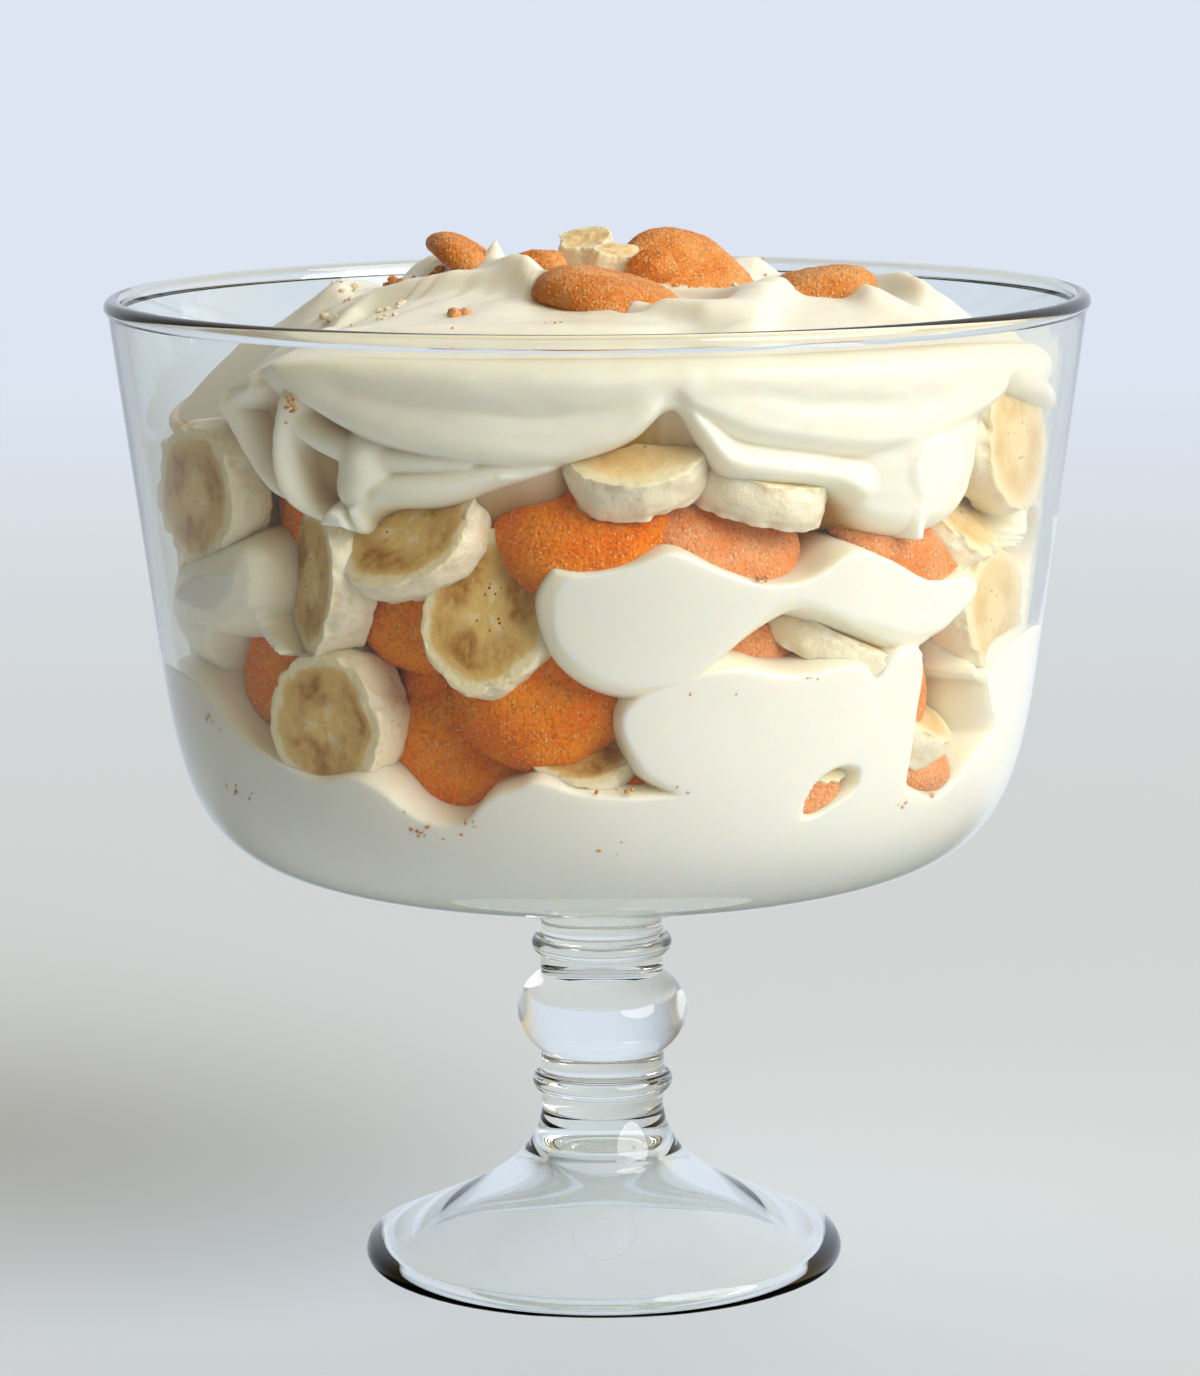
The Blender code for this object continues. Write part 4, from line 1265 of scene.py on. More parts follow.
@dataclass
class CreamTop:
    """The whipped cream: lobes that hang over the fruit, folds up the glass, and a low mound.

    Args:
        bowl: the bowl that it lies in.
        columns, crowding: its steps round, and how much they crowd together at the shown side.
        wall_rows, mound_rows: its rows up the wall and over the mound.
        bite: how far it reaches into the glass, so that no air gap shows.
        background: how deep behind the glass it lies between the folds.
        shown: the azimuth where the side that the photograph shows ends, on both sides.
        blend: over how many degrees it goes over to the far side's even form.
        curl: how far its lower edge is rolled under.
        brow: the height over which it rounds off into the mound.
        pocket_lip, pocket_depth: the width of a pocket's edge as a share of the piece, and how deep
            it goes at most.
        mound_top: the mound's height.
        stroke_height, stroke_left, stroke_right: how high the spoon strokes stand, and how wide
            they are on their two sides.
        peak: where the small peak stands, in plan.
        swirls: the spoon strokes, each a line in plan and how high it stands.
        edge, shoulder: where it ends below, and where the mound starts.
        folds, lobes: its forms at the glass.
        surface: the mound's built places, for what is scattered on it.
    """

    bowl: TrifleBowl
    columns: int = 560
    crowding: float = 0.42
    wall_rows: int = 84
    mound_rows: int = 90
    bite: float = 0.15
    background: float = 9.0
    shown: float = 80.0
    blend: float = 14.0
    curl: float = 6.0
    brow: float = 5.0
    pocket_lip: float = 0.06
    pocket_depth: float = 20.0
    mound_top: float = 225.5
    stroke_height: float = 1.6
    stroke_left: float = 9.0
    stroke_right: float = 3.5
    peak: tuple = (-22.4, -5.0)
    swirls: tuple = (
        (((-59, -6), (-56, 32), (-47, 52), (-36, 19), (-26, -9), (-8, -42)), 2.8),
        (((-64, -47), (-54, -18), (-37, -20), (-17, -31), (5, -53), (22, -68)), 2.6),
        (((31, -91), (37, -40), (46, -15), (57, -8), (60, -35)), 2.4),
        (((70, 38), (73, -12), (82, 6)), 2.0),
        (((34, 29), (46, 64), (61, 36), (74, -3)), 3.0),
        (((-80, -20), (-66, -62), (-30, -80), (8, -84)), 1.8),
        (((-20, 70), (10, 52), (24, 78), (-8, 90)), 2.2),
    )
    edge: tuple = (
        (-180, 186), (-150, 178), (-120, 184), (-95, 188), (-78, 190), (-66, 197), (-58, 200.5),
        (-51.5, 200.5), (-48.5, 195), (-46, 188.5), (-44, 184.5), (-41, 182), (-36.7, 180.5),
        (-33.5, 181), (-31.4, 180.4), (-30.3, 178.2), (-29, 181), (-26, 183.5), (-20, 184),
        (-13.3, 188.5), (-4.5, 193.5), (4.4, 199), (8.9, 205.5), (12, 198), (15.5, 190.5),
        (25.5, 188), (30, 186), (33.5, 179.5), (37.8, 176.5), (42, 175.8), (49, 178), (53.2, 184),
        (55, 195), (56.3, 204), (60, 202.5), (70, 197), (80, 191), (105, 180), (140, 187),
    )
    shoulder: tuple = (
        (-180, 204), (-120, 199), (-90, 192), (-75, 191), (-62, 197), (-50, 208), (-42, 214),
        (-30, 216), (45, 216), (70, 213), (95, 207), (125, 211), (155, 206),
    )
    folds: tuple = (
        Fold(((-41, 214.5), (-36, 208.5), (-28.5, 202.5), (-21, 199.5), (-14, 197.8), (-6, 196.8),
              (1, 199.5), (6, 205)), 0.5, 12.0, 4.2, 6.0),
        Fold(((-39, 206), (-40.3, 200), (-41, 193), (-40, 186), (-37.5, 181.5), (-33.5, 180.0)),
             0.6, 3.2, 3.0),
        Fold(((-27, 187), (-20, 188.5), (-13, 190.5), (-6.5, 192)), 0.9, 4.4, 4.0, 4.0),
        Fold(((-11.5, 191.8), (-5.5, 191.2)), 0.5, 1.8, 1.6, 4.0),
        Fold(((-51, 205), (-48, 198), (-46, 190), (-44.4, 184)), 1.3, 3.6, 3.6),
        Fold(((-78, 195), (-64, 200.5), (-54, 206.5), (-47, 211.5), (-41, 214)), 2.6, 6.0, 4.6),
        Fold(((-60, 197.5), (-52, 203), (-45, 208)), 2.2, 4.0, 3.2),
        Fold(((-40, 215), (-27, 212.5), (-10, 211), (6, 211.5), (18, 213)), 1.0, 9.0, 9.0),
        Fold(((8.6, 205.8), (11.5, 201.5), (15, 195), (20.5, 192.4), (26, 191), (33, 188)),
             0.4, 5.2, 4.8),
        Fold(((11, 208.5), (17, 203.5), (24, 200.8), (33, 198.6), (43, 199.5), (55, 206)),
             0.5, 13.0, 4.6, 5.0),
        Fold(((14, 212), (28, 210.5), (42, 209.5), (56, 210), (68, 208)), 0.8, 9.0, 9.0),
        Fold(((57.5, 206.5), (66, 203.5), (75, 199.5), (86, 196)), 0.8, 6.0, 4.4),
        Fold(((-30.2, 188), (-29.5, 193)), 0.5, 6.0, 6.5, 4.0),
        Fold(((-57, 203), (-51, 208), (-45, 211)), 1.8, 2.6, 2.6, 4.0),
        Fold(((-40.4, 205), (-37.5, 199), (-32, 195.4), (-25, 194), (-16, 194.4)),
             2.6, 3.4, 2.6, 4.0),
        Fold(((-30.4, 184), (-30.3, 179)), 0.3, 1.6, 1.6, 4.0),
        Fold(((44, 183), (44, 193)), 0.2, 17.0, 17.0, 4.2),
    )
    lobes: tuple = (
        touching(-33, 180.5, 1.6, 3.0, 3.0, roll=-8),
        touching(44, 190.5, 4.0, 6.8, 4.0),
        touching(41.7, 179.5, 0.8, 5.5, 3.0),
    )
    surface: np.ndarray = field(init=False, repr=False)

    def wall_depth(self, azimuth: np.ndarray, height: np.ndarray, edge: np.ndarray,
                   shoulder: np.ndarray, pieces: list[Placed]) -> np.ndarray:
        """Works out how far the cream lies behind the glass, between its lip and its shoulder.

        Args:
            azimuth, height: each place, in degrees and millimetres.
            edge, shoulder: the height of the lower edge and of the shoulder there.
            pieces: what presses into it.

        Returns:
            The depth in millimetres, 0 where the cream is flat against the glass.
        """
        uneven = rolling(azimuth, height, 19.0, 5.0)
        depth = self.background + uneven
        for fold in self.folds:
            depth = soft_least(depth, fold.depth(azimuth, height) + 0.3 * uneven, 1.1)
        depth = depth + 0.25 * rolling(azimuth, height * 2.5, 7.0, 31.0)
        behind = 2.6 + 3.4 * rolling(azimuth, height, 26.0, 13.0)
        away = np.clip((np.abs(azimuth) - self.shown) / self.blend, 0, 1)
        depth = depth * (1 - away) + behind * away
        rise = np.clip((height - edge) / self.curl, 0.0, 1.0)
        lip = 1.1 * self.curl * (1 - np.sqrt(1 - (1 - rise) ** 2))
        fall = np.clip((shoulder - height) / self.brow, 0.0, 1.0)
        brow = 0.8 * self.brow * (1 - np.sqrt(1 - (1 - fall) ** 2))
        depth = depth + lip + brow
        for lobe in self.lobes:
            depth = soft_least(depth, lobe.depth(azimuth, height), 0.5)
        depth = np.maximum(depth, 0.0)
        wall = self.bowl.inside_radius(height)
        for placed in pieces:
            near, deep = placed.seen_from_glass(azimuth, height, wall)
            room = np.clip((1 + self.pocket_lip - near) / self.pocket_lip, 0.0, 1.0)
            depth = np.maximum(depth, np.minimum(deep, self.pocket_depth) * room)
        return depth

    def mound(self, azimuth: np.ndarray, share: np.ndarray, start: np.ndarray,
              shoulder: np.ndarray, toppings: list[Placed]) -> tuple[np.ndarray, np.ndarray]:
        """Works out the mound's surface.

        Args:
            azimuth: each place's azimuth in degrees.
            share: how far it lies from the shoulder, 0, towards the middle, 1.
            start, shoulder: the shoulder's radius and height there.
            toppings: what lies on the mound and presses into it.

        Returns:
            Each place's radius and height, in millimetres.
        """
        # The lower the shoulder, the more steeply the mound rises from it
        power = 2.2 + 1.5 * (216.0 - shoulder) / 26.0
        radius = start * (1 - share)
        height = shoulder + (self.mound_top - shoulder) * (1 - (1 - share) ** power)
        angle = np.radians(azimuth)
        x = np.sin(angle) * radius
        y = -np.cos(angle) * radius
        inside = np.sin(np.pi * np.clip(share, 0, 1)) ** 0.5
        height = height + inside * 1.2 * rolling(azimuth, share * 60.0, 22.0, 21.0)
        for points, rise in self.swirls:
            height = height + inside * self.stroke_height * rise * self.swirl(x, y, points)
        height = height + 0.25 * rolling(azimuth, share * 160.0, 7.0, 41.0)
        # A small pointed peak, on a soft rise of its own
        away = np.hypot(x - self.peak[0], y - self.peak[1])
        height = height + 8.0 * np.clip(1 - away / 7.5, 0, 1) ** 1.7
        height = height + 1.5 * np.exp(-(away / 11.0) ** 2)
        for placed in toppings:
            height = height - self.hollow(x, y, height, placed)
        return radius, height

    def swirl(self, x: np.ndarray, y: np.ndarray, points: tuple) -> np.ndarray:
        """Works out a spoon stroke's ridge, which is steeper on its right.

        Args:
            x, y: each place in plan, in millimetres.
            points: the stroke's line in plan.

        Returns:
            How high the ridge stands there, 1 at its crest.
        """
        best = np.full_like(x, 1e9)
        side = np.zeros_like(x)
        spots = rounded(points, 6, closed=False)
        for (x0, y0), (x1, y1) in zip(spots, spots[1:]):
            dx, dy = x1 - x0, y1 - y0
            share = np.clip(((x - x0) * dx + (y - y0) * dy) / (dx * dx + dy * dy), 0.0, 1.0)
            far = (x - x0 - share * dx) ** 2 + (y - y0 - share * dy) ** 2
            turned = (dx * (y - y0) - dy * (x - x0)) / math.hypot(dx, dy) / np.sqrt(far + 0.01)
            side = np.where(far < best, turned, side)
            best = np.minimum(best, far)
        part = np.clip(side * 0.5 + 0.5, 0.0, 1.0)
        width = self.stroke_right + (self.stroke_left - self.stroke_right) * part
        ends = np.hypot(x - spots[0][0], y - spots[0][1]) / 10.0
        return np.exp(-best / (width * width)) * np.clip(ends, 0.3, 1.0)

    @staticmethod
    def hollow(x: np.ndarray, y: np.ndarray, height: np.ndarray, placed: Placed) -> np.ndarray:
        """Works out how far the cream sinks where a topping presses into it.

        Args:
            x, y, height: each place of the mound, in millimetres.
            placed: the topping.

        Returns:
            How far it sinks there, in millimetres.
        """
        spots = np.stack([x, y, height], axis=-1) - np.array(placed.centre)
        local = spots @ np.array(placed.turn)
        half = placed.piece.across / 2
        reach = np.hypot(local[:, 0] / half, local[:, 1] / (half * placed.piece.oval))
        above = local[:, 2] + 0.15 * placed.piece.thick
        sunk = np.clip(above / max(placed.turn[2][2], 0.3), 0.0, 2.8)
        edge = np.clip((1.3 - reach) / 0.3, 0.0, 1.0)
        return sunk * edge * edge * (3 - 2 * edge)

    def level(self, x: float, y: float) -> float:
        """Returns the built cream's height over a place in plan, in millimetres."""
        near = np.argmin((self.surface[:, 0] - x) ** 2 + (self.surface[:, 1] - y) ** 2)
        return float(self.surface[near, 2])

    def build(self, finish: bpy.types.Material, pieces: list[Placed],
              toppings: list[Placed]) -> bpy.types.Object:
        """Builds the cream over its pieces and under its toppings.

        Args:
            finish: the cream's finish.
            pieces: what presses into it from below.
            toppings: what lies on it.

        Returns:
            The new piece.
        """
        # Its underside, which lies in the pudding, as radii and heights
        under = ((0.0, 176.0), (60.0, 176.0), (84.0, 177.0))
        rows = len(under) + self.wall_rows + self.mound_rows + 1
        bm, azimuth, row = turned_grid(rows, self.columns, self.crowding)
        edge = wavy(self.edge, azimuth)
        shoulder = wavy(self.shoulder, azimuth)
        radius = np.zeros(len(row))
        height = np.zeros(len(row))
        depth = np.zeros(len(row))
        for i, (r, z) in enumerate(under):
            here = row == i
            radius[here] = r
            height[here] = z
            depth[here] = 12.0
        first = len(under)
        walls = (row >= first) & (row < first + self.wall_rows)
        share = ((row - first) / (self.wall_rows - 1)).clip(0, 1) ** 1.15
        height[walls] = (edge + (shoulder - edge) * share)[walls]
        depth[walls] = self.wall_depth(azimuth[walls], height[walls], edge[walls], shoulder[walls],
                                       pieces)
        radius[walls] = self.bowl.inside_radius(height[walls]) + self.bite - depth[walls]
        start = self.bowl.inside_radius(shoulder) + self.bite
        start = start - self.wall_depth(azimuth, shoulder, edge, shoulder, pieces)
        top = first + self.wall_rows
        crown = row >= top
        share = ((row - top + 1) / (self.mound_rows + 1)).clip(0, 1) ** 1.1
        r, z = self.mound(azimuth, share, start, shoulder, toppings)
        radius[crown] = r[crown]
        height[crown] = z[crown]
        depth[crown] = 2.0
        angle = np.radians(azimuth[crown])
        self.surface = np.stack([np.sin(angle) * r[crown], -np.cos(angle) * r[crown], z[crown]],
                                axis=-1)
        mesh = shaped_mesh("cream_mound", bm, azimuth, radius, height, depth)
        return finish_piece("cream_mound", mesh, finish, ("cream_top",), 180.0)


@dataclass
class Morsel:
    """A wafer or a slice, rolled up from its half profile and then made uneven.

    Args:
        placed: the piece in its place.
        seed: a number that makes its unevenness its own.
        sides: its steps round.
        bit: a loose piece smaller than this across, in millimetres, is a broken bit.
    """

    placed: Placed
    seed: float = 0.0
    sides: int = 104
    bit: float = 18.0

    def profile(self) -> list[tuple[float, float, float]]:
        """Draws the half profile, from the back's middle to the face's.

        Returns:
            Its points as (share of radius, share of thickness, mark). The mark is how browned a
            wafer is there, or 1 on a slice's side.
        """
        if self.placed.piece.kind is WAFER:
            back = [(s, -0.47 - 0.03 * s, 0.30) for s in np.linspace(0, 0.88, 14)]
            rim = [(0.90 + 0.10 * math.sin(a), -0.28 - 0.22 * math.cos(a), 0.30)
                   for a in np.linspace(0.2, math.pi / 2, 8)]
            dome = [(math.cos(a) ** 0.8, -0.28 + 0.78 * math.sin(a), max(0.0, 0.30 - 0.5 * a))
                    for a in np.linspace(0.08, math.pi / 2, 30)]
            return back + rim + dome
        back = [(s, -0.5, 0.0) for s in np.linspace(0, 0.95, 16)]
        side = [(0.975 + 0.025 * math.cos(2.2 * t), 0.485 * t, 1.0) for t in np.linspace(-1, 1, 15)]
        face = [(s, 0.5, 0.0) for s in np.linspace(0.95, 0, 22)]
        return back + side + face

    def unevenness(self, spot: Vector, side: bool) -> tuple[float, float]:
        """Makes one place uneven.

        Args:
            spot: the place, in the piece's own millimetres.
            side: whether it is on a slice's side.

        Returns:
            How much wider it lies, as a share, and how far it bulges, in millimetres.
        """
        broad = noise.noise(spot / 9)
        fine = noise.noise(spot / 2.2)
        grain = noise.noise(spot / 0.9)
        if self.placed.piece.kind is WAFER:
            return 0.03 * broad, 0.40 * broad + 0.22 * fine + 0.10 * grain
        if side:
            return 0.05 * broad, 0.55 * noise.noise(spot / 4.5) + 0.3 * fine + 0.12 * grain
        return 0.035 * broad, 0.10 * fine + 0.06 * grain

    def build(self, finish: bpy.types.Material) -> bpy.types.Object:
        """Rolls up the profile, makes it uneven and sets it in its place.

        Args:
            finish: the piece's finish.

        Returns:
            The new piece.
        """
        piece = self.placed.piece
        profile = self.profile()
        half = piece.across / 2
        bm, azimuth, row = turned_grid(len(profile), self.sides)
        marks, faces = [], []
        for vert, turn, place in zip(bm.verts, np.radians(azimuth), row):
            share, level, mark = profile[place]
            x, y, z = math.sin(turn) * share, -math.cos(turn) * share, level
            marks.append(mark)
            faces.append((x, y, self.seed))
            spot = Vector((x * half, y * half, z * piece.thick + self.seed * 30))
            side = piece.kind is BANANA and mark > 0.5
            wider, bulge = self.unevenness(spot, side)
            if piece.across < self.bit and piece.centre is not None:
                wider += 0.22 * noise.noise(spot / 5.0)
                bulge += 0.55 * noise.noise(spot / 3.5 + Vector((7, 7, 7)))
            if piece.kind is BANANA:
                wider += 0.022 * math.cos(5 * turn + self.seed)
                out = Vector((x, y, 0)).normalized() if side else Vector((0, 0, math.copysign(1, z)))
                if 0.90 < share and abs(level) > 0.3:
                    torn = max(0.0, noise.noise(Vector((x * 6, y * 6, self.seed + z))) - 0.05)
                    wider -= 0.15 * torn
                    out = out * 1.6
            else:
                out = Vector((x / half, y / half, z * 2 / piece.thick)).normalized()
            local = Vector((x * half * (1 + wider), y * half * (1 + wider), z * piece.thick))
            local += out * bulge
            local.y *= piece.oval
            vert.co = (self.placed.centre + self.placed.turn @ local) * MM
        bmesh.ops.recalc_face_normals(bm, faces=bm.faces)
        mesh = bpy.data.meshes.new(piece.name + "_fine")
        bm.to_mesh(mesh)
        bm.free()
        name = "browned" if piece.kind is WAFER else "side"
        mark = mesh.attributes.new(name, "FLOAT", "POINT")
        mark.data.foreach_set("value", marks)
        face = mesh.attributes.new("face", "FLOAT_VECTOR", "POINT")
        face.data.foreach_set("vector", [value for spot in faces for value in spot])
        return finish_piece(piece.name + "_fine", mesh, finish, (piece.name,), 60.0)


@dataclass
class Crumbs:
    """Loose crumbs of wafer: on the mound and stuck to the glass.

    Args:
        seed: a number that makes their places and sizes their own.
        clusters: groups at the glass, as (azimuth, height, wide, tall, count).
        scatters, pale_scatters: groups on the mound, as (x, y, spread, count, size).
        sizes: the least and greatest size at the glass, in millimetres.
    """

    seed: int = 11
    sizes: tuple = (0.3, 0.75)
    clusters: tuple = (
        (-24.0, 115.5, 3.2, 2.4, 16), (-60.5, 133.5, 2.4, 1.6, 8), (-58.0, 118.5, 3.5, 1.3, 9),
        (-37.4, 205.5, 0.9, 3.0, 14), (20.0, 170.3, 1.0, 0.8, 5), (4.5, 126.0, 5.0, 1.2, 8),
        (28.0, 148.0, 2.2, 0.9, 4), (-17.0, 118.0, 1.2, 1.6, 6), (11.0, 146.5, 0.5, 0.5, 2),
        (17.0, 145.5, 0.5, 0.5, 2), (3.0, 113.0, 5.0, 2.0, 5), (46.0, 117.5, 9.0, 0.8, 5),
    )
    scatters: tuple = (
        (-48, 25, 5, 5, 2.0), (-44, 16, 4, 5, 1.5), (-35, 8, 5, 6, 2.2), (-30, -57, 3, 4, 1.7),
        (-30, -83, 3, 4, 0.7), (12, -2, 8, 26, 1.6), (-14, -4, 7, 20, 1.6), (0, -2, 9, 16, 1.1),
        (20, -18, 8, 12, 0.8), (-28, 4, 8, 10, 0.9), (40, -22, 9, 9, 0.7), (-8, -77, 3, 3, 0.5),
        (-1, -47, 4, 4, 0.5), (30, 30, 20, 14, 0.8), (-20, 60, 26, 16, 0.8),
    )
    pale_scatters: tuple = (
        (-60, -19, 5, 8, 1.2), (-56, -6, 5, 8, 1.0), (-47, -46, 5, 8, 0.9), (-44, -34, 5, 7, 1.0),
        (-52, 8, 7, 10, 0.9), (22, -6, 7, 16, 1.2), (6, 10, 8, 14, 1.3), (30, -20, 6, 10, 0.9),
    )

    def build_on_cream(self, name: str, scatters: tuple, finish: bpy.types.Material,
                       cream: CreamTop) -> bpy.types.Object:
        """Scatters crumbs over the mound as one mesh.

        Args:
            name: the piece's name.
            scatters: (x, y, spread, count, size) of each group, in millimetres.
            finish: the crumbs' finish.
            cream: the cream that they lie on.

        Returns:
            The new piece.
        """
        draw = random.Random(self.seed + len(scatters))
        bm = bmesh.new()
        for x, y, spread, count, size in scatters:
            for _ in range(count):
                spot_x = x + draw.gauss(0, spread / 2)
                spot_y = y + draw.gauss(0, spread / 2)
                grain = size * draw.uniform(0.35, 1.0)
                level = cream.level(spot_x, spot_y) + 0.3 * grain
                self.add_crumb(bm, draw, Vector((spot_x, spot_y, level)), grain)
        return self.finish(name, bm, finish)

    def finish(self, name: str, bm: bmesh.types.BMesh,
               finish: bpy.types.Material) -> bpy.types.Object:
        """Makes crumbs one piece with a lightly browned surface.

        Args:
            name: the piece's name.
            bm: the crumbs, which are freed.
            finish: their finish.

        Returns:
            The new piece.
        """
        mesh = bpy.data.meshes.new(name)
        bm.to_mesh(mesh)
        bm.free()
        mark = mesh.attributes.new("browned", "FLOAT", "POINT")
        mark.data.foreach_set("value", [0.05] * len(mesh.vertices))
        return finish_piece(name, mesh, finish, (), 60.0)

    def build(self, finish: bpy.types.Material, bowl: TrifleBowl) -> bpy.types.Object:
        """Scatters the crumbs at the glass as one mesh.

        Args:
            finish: their finish.
            bowl: the bowl that they stick to.

        Returns:
            The new piece.
        """
        draw = random.Random(self.seed)
        bm = bmesh.new()
        for azimuth, height, wide, tall, count in self.clusters:
            for _ in range(count):
                a = azimuth + draw.gauss(0, wide / 2)
                z = height + draw.gauss(0, tall / 2)
                size = draw.uniform(*self.sizes)
                centre = direction(a) * (float(bowl.inside_radius(z)) - 0.35 * size)
                self.add_crumb(bm, draw, centre + Vector((0, 0, z)), size)
        return self.finish("crumbs_at_glass", bm, finish)

    @staticmethod
    def add_crumb(bm: bmesh.types.BMesh, draw: random.Random, centre: Vector, size: float) -> None:
        """Adds one rough lump.

        Args:
            bm: the mesh that it is added to.
            draw: what its shape is drawn from.
            centre: its middle, in millimetres.
            size: about half its width, in millimetres.
        """
        made = bmesh.ops.create_icosphere(bm, subdivisions=1, radius=size * MM)
        stretch = Vector((draw.uniform(0.7, 1.3), draw.uniform(0.7, 1.2), draw.uniform(0.6, 1.1)))
        for vert in made["verts"]:
            rough = 1 + draw.uniform(-0.25, 0.25)
            vert.co = vert.co * stretch * rough + centre * MM


@dataclass
class Studio:
    """A pale floor that fades into a pale backdrop, soft light from the right, and the camera.

    Args:
        distance, eye_height: the camera's place, in metres.
        pitch, roll: how far it looks down and how far it is turned, in degrees.
        lens: its focal length in millimetres.
        floor_radius, fade_start, fade_end: the floor's size, and where it fades out, in metres.
        floor_colour, sky_colour, room_colour: the colours of the floor, of the sky and of the room
            behind the camera.
        window_way: where the sky is brightest.
        shade, room, underfoot: how bright the sky is away from the window, how bright the room
            behind the camera is, and how bright it is below the floor.
        backdrop: how bright the backdrop looks.
        sun_azimuth, sun_height: where the window's light comes from, in degrees.
        window_energy, fill_energy: how strong the two lamps are.
    """

    distance: float = 1.1467
    eye_height: float = 0.3152
    pitch: float = 9.066
    roll: float = -0.401
    lens: float = 134.26
    floor_radius: float = 3.0
    fade_start: float = 0.4
    fade_end: float = 2.2
    floor_colour: str = "#D6DFEC"
    sky_colour: str = "#DFE8F4"
    room_colour: str = "#EFDAA8"
    window_way: tuple = (0.62, 0.68, 0.39)
    shade: float = 0.15
    room: float = 0.18
    underfoot: float = 0.05
    backdrop: float = 0.97
    sun_azimuth: float = 55.0
    sun_height: float = 30.0
    window_energy: float = 3.1
    fill_energy: float = 0.5

    def build(self) -> None:
        """Builds the floor, the world, the lamps and the camera."""
        self.floor()
        self.world()
        self.lamps()
        self.camera()

    def floor(self) -> None:
        """Lays the plain pale floor, which fades out a few bowls' widths away."""
        bm = bmesh.new()
        bmesh.ops.create_circle(bm, cap_ends=True, segments=96, radius=self.floor_radius)
        mesh = bpy.data.meshes.new("floor")
        bm.to_mesh(mesh)
        bm.free()
        material, shader = new_material("pale_floor")
        shader.inputs["Base Color"].default_value = linear(self.floor_colour)
        shader.inputs["Roughness"].default_value = 0.5
        shader.inputs["Specular IOR Level"].default_value = 0.2
        tree = material.node_tree
        place = add_node(tree, "ShaderNodeTexCoord")
        reach = add_node(tree, "ShaderNodeVectorMath", {"operation": "LENGTH"},
                         {0: place.outputs["Object"]})
        clear = add_node(tree, "ShaderNodeBsdfTransparent")
        fade = add_node(tree, "ShaderNodeMixShader", {}, {
            0: ramp(tree, reach.outputs["Value"], self.fade_start, self.fade_end),
            1: shader.outputs["BSDF"], 2: clear.outputs["BSDF"]})
        output = tree.nodes["Material Output"]
        tree.links.new(fade.outputs["Shader"], output.inputs["Surface"])
        mesh.materials.append(material)
        floor = bpy.data.objects.new("floor", mesh)
        bpy.context.scene.collection.objects.link(floor)
        # The glass's outside would otherwise mirror the floor as a milky veil over the food
        floor.visible_glossy = False

    def world(self) -> None:
        """Lights the scene with a pale sky, brighter on the window's side and dark underfoot."""
        world = bpy.data.worlds.new("pale_sky")
        world.use_nodes = True
        tree = world.node_tree
        sky = tree.nodes["Background"]
        way = add_node(tree, "ShaderNodeTexCoord")
        window = add_node(tree, "ShaderNodeVectorMath",
                          {"operation": "DOT_PRODUCT", 1: self.window_way},
                          {0: way.outputs["Generated"]})
        parts = add_node(tree, "ShaderNodeSeparateXYZ", {}, {"Vector": way.outputs["Generated"]})
        bright = ramp(tree, window.outputs["Value"], -0.45, 0.75, self.shade, 1.0)
        above = ramp(tree, parts.outputs["Z"], -0.46, -0.30, self.underfoot, 1.0)
        lit = add_node(tree, "ShaderNodeMath", {"operation": "MULTIPLY"}, {0: bright, 1: above})
        # The room behind the camera is dark, so the front of the glass mirrors no veil
        room = ramp(tree, parts.outputs["Y"], -0.35, 0.30, self.room, 1.0)
        strength = add_node(tree, "ShaderNodeMath", {"operation": "MULTIPLY"},
                            {0: lit.outputs["Value"], 1: room})
        behind = ramp(tree, parts.outputs["Y"], 0.35, 0.85)
        colour = blend_colours(tree, behind, linear(self.room_colour), linear(self.sky_colour))
        tree.links.new(colour, sky.inputs["Color"])
        tree.links.new(strength.outputs["Value"], sky.inputs["Strength"])
        # Seen directly, the backdrop is the same plain pale one from every side
        plain = add_node(tree, "ShaderNodeBackground",
                         {"Color": linear(self.sky_colour), "Strength": self.backdrop})
        rays = add_node(tree, "ShaderNodeLightPath")
        both = add_node(tree, "ShaderNodeMixShader", {}, {
            0: rays.outputs["Is Camera Ray"], 1: sky.outputs["Background"],
            2: plain.outputs["Background"]})
        tree.links.new(both.outputs["Shader"], tree.nodes["World Output"].inputs["Surface"])
        bpy.context.scene.world = world

    def lamp(self, name: str, energy: float, angle: float, azimuth: float, height: float,
             colour: str) -> bpy.types.Object:
        """Adds a soft distant lamp.

        Args:
            name: the lamp's name.
            energy: its strength.
            angle: how wide it looks, in degrees.
            azimuth, height: where it stands, in degrees.
            colour: its sRGB hex colour.

        Returns:
            The lamp.
        """
        data = bpy.data.lights.new(name, "SUN")
        data.energy = energy
        data.angle = math.radians(angle)
        data.color = linear(colour)[:3]
        lamp = bpy.data.objects.new(name, data)
        rise = math.radians(height)
        place = direction(azimuth) * math.cos(rise) + Vector((0, 0, math.sin(rise)))
        lamp.rotation_euler = (-place).to_track_quat("-Z", "Y").to_euler()
        bpy.context.scene.collection.objects.link(lamp)
        return lamp

    def lamps(self) -> None:
        """Adds the large window's soft light at the right and a weak fill from the front."""
        self.lamp("window", self.window_energy, 50, self.sun_azimuth, self.sun_height, "#FFFDF8")
        fill = self.lamp("fill", self.fill_energy, 90, 24, 24, "#FFE9C8")
        fill.visible_glossy = False

    def camera(self) -> None:
        """Sets the camera where the photograph was taken from."""
        data = bpy.data.cameras.new("camera")
        data.lens = self.lens
        data.clip_start = 0.05
        camera = bpy.data.objects.new("camera", data)
        camera.location = (0.0, -self.distance, self.eye_height)
        pitch = Matrix.Rotation(math.radians(90 - self.pitch), 4, "X")
        roll = Matrix.Rotation(math.radians(self.roll), 4, "Z")
        camera.rotation_euler = (pitch @ roll).to_euler()
        bpy.context.scene.collection.objects.link(camera)
        bpy.context.scene.camera = camera


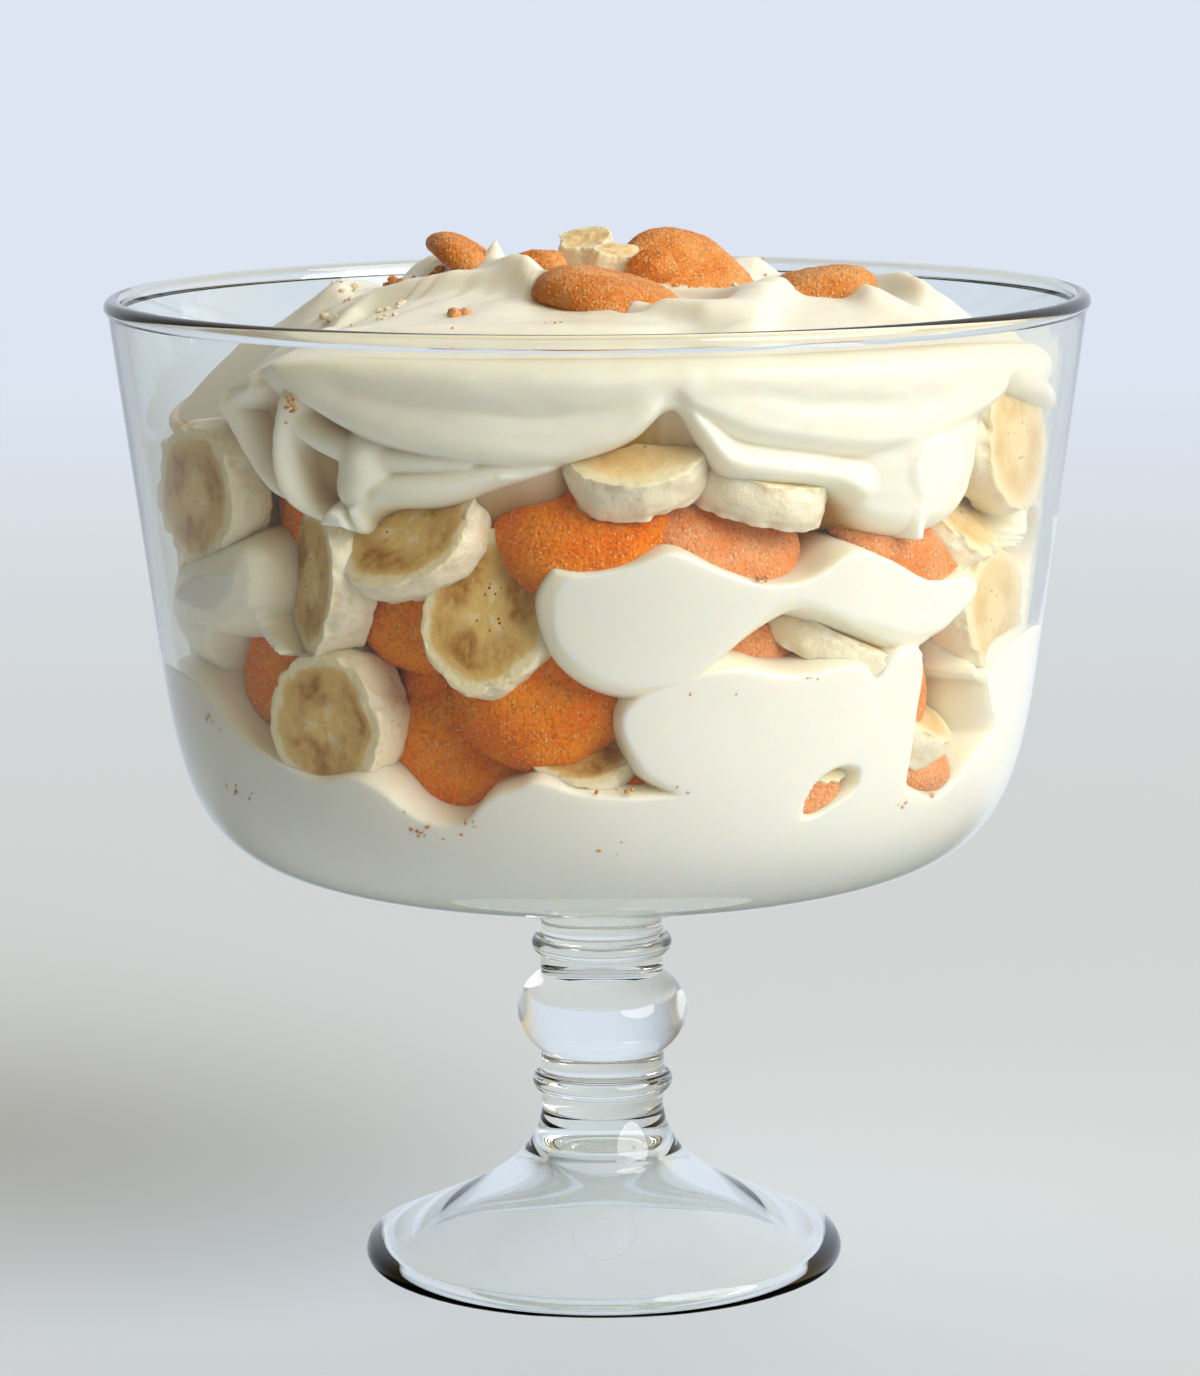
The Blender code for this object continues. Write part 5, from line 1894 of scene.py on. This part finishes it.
def build_pieces(at_glass: list[Placed], on_top: list[Placed]) -> None:
    """Builds every slice and wafer, in the finish that suits its place.

    Those at the right of the shown side take paler finishes: painted light, for the window's
    brighter light and the glass's milky reflection there. Slices on the mound and slices whose
    faces look steeply up take the paler banana finish too.

    Args:
        at_glass: the pieces against the glass.
        on_top: the pieces on the mound.
    """
    dry = BakedWafer().material()
    # The paler wafer and banana finishes paint light: the window's brighter light and the glass's milky
    # reflection at the right
    lit_wafer = BakedWafer("right_lit_wafer", crust="#EE904E", light="#F8AC74", browned="#BC6C36",
                      sugar="#FFDCBA", specular=0.15).material()
    moist = BakedWafer("moist_wafer", crust="#F87A04", light="#FF941A", browned="#A84C06",
                       sugar="#FFC67C", specular=0.1).material()
    ripe = CutBanana("ripe_banana").material()
    paler_banana_finish = CutBanana("paler_banana", flesh="#F0D8A6", amber="#DCB87A").material()
    for number, placed in enumerate(at_glass + on_top):
        piece = placed.piece
        loose = piece.centre is not None
        # Right of the shown side the finishes are paler: painted light and painted reflection haze from the
        # window side
        right = piece.azimuth > 8
        if piece.kind is BANANA:
            finish = paler_banana_finish if loose or right or piece.lean > 50 else ripe
        elif loose:
            finish = dry
        else:
            finish = lit_wafer if right else moist
        Morsel(placed, seed=float(number)).build(finish)


def main() -> None:
    """Builds the whole scene, piece by piece."""
    logging.basicConfig(level=logging.INFO, format="%(name)s: %(message)s")
    bowl = TrifleBowl()
    bowl.build(PressedGlass().material())
    at_glass = [Placed.settle(piece, bowl) for piece in list(AT_GLASS) + back_pieces()]
    on_top = [Placed.settle(piece, bowl) for piece in ON_TOP]
    build_pieces(at_glass, on_top)
    PuddingBody(bowl).build(SetPudding().material(), at_glass)
    # The cream's hollow colour is painted shade in the valleys of its folds, and its cooler white on the
    # glass is painted light
    whipped = SetPudding("whipped_cream", touching="#F4F3EC", open_air="#F9F5E6", hollow="#BC9448",
                         roughness=0.42, shade_from=3.0, shade_to=11.5).material()
    cream = CreamTop(bowl)
    cream.build(whipped, [p for p in at_glass if "_back_" in p.piece.name], on_top)
    loose = BakedWafer("wafer_crumb", crust="#F2A664", light="#FAC08A", browned="#D08848",
                       sugar="#FFE4C0").material()
    pale = BakedWafer("pale_crumb", crust="#F0E2BE", light="#F8EED4", browned="#E2CB98",
                      sugar="#FFFAEA").material()
    crumbs = Crumbs()
    crumbs.build(loose, bowl)
    crumbs.build_on_cream("crumbs_on_cream", crumbs.scatters, loose, cream)
    crumbs.build_on_cream("pale_crumbs_on_cream", crumbs.pale_scatters, pale, cream)
    Studio().build()
    # Caustics would only add noise behind the glass
    scene = bpy.context.scene
    scene.cycles.caustics_refractive = False
    scene.cycles.caustics_reflective = False
    scene.view_settings.view_transform = "Standard"


if __name__ == "__main__":
    main()
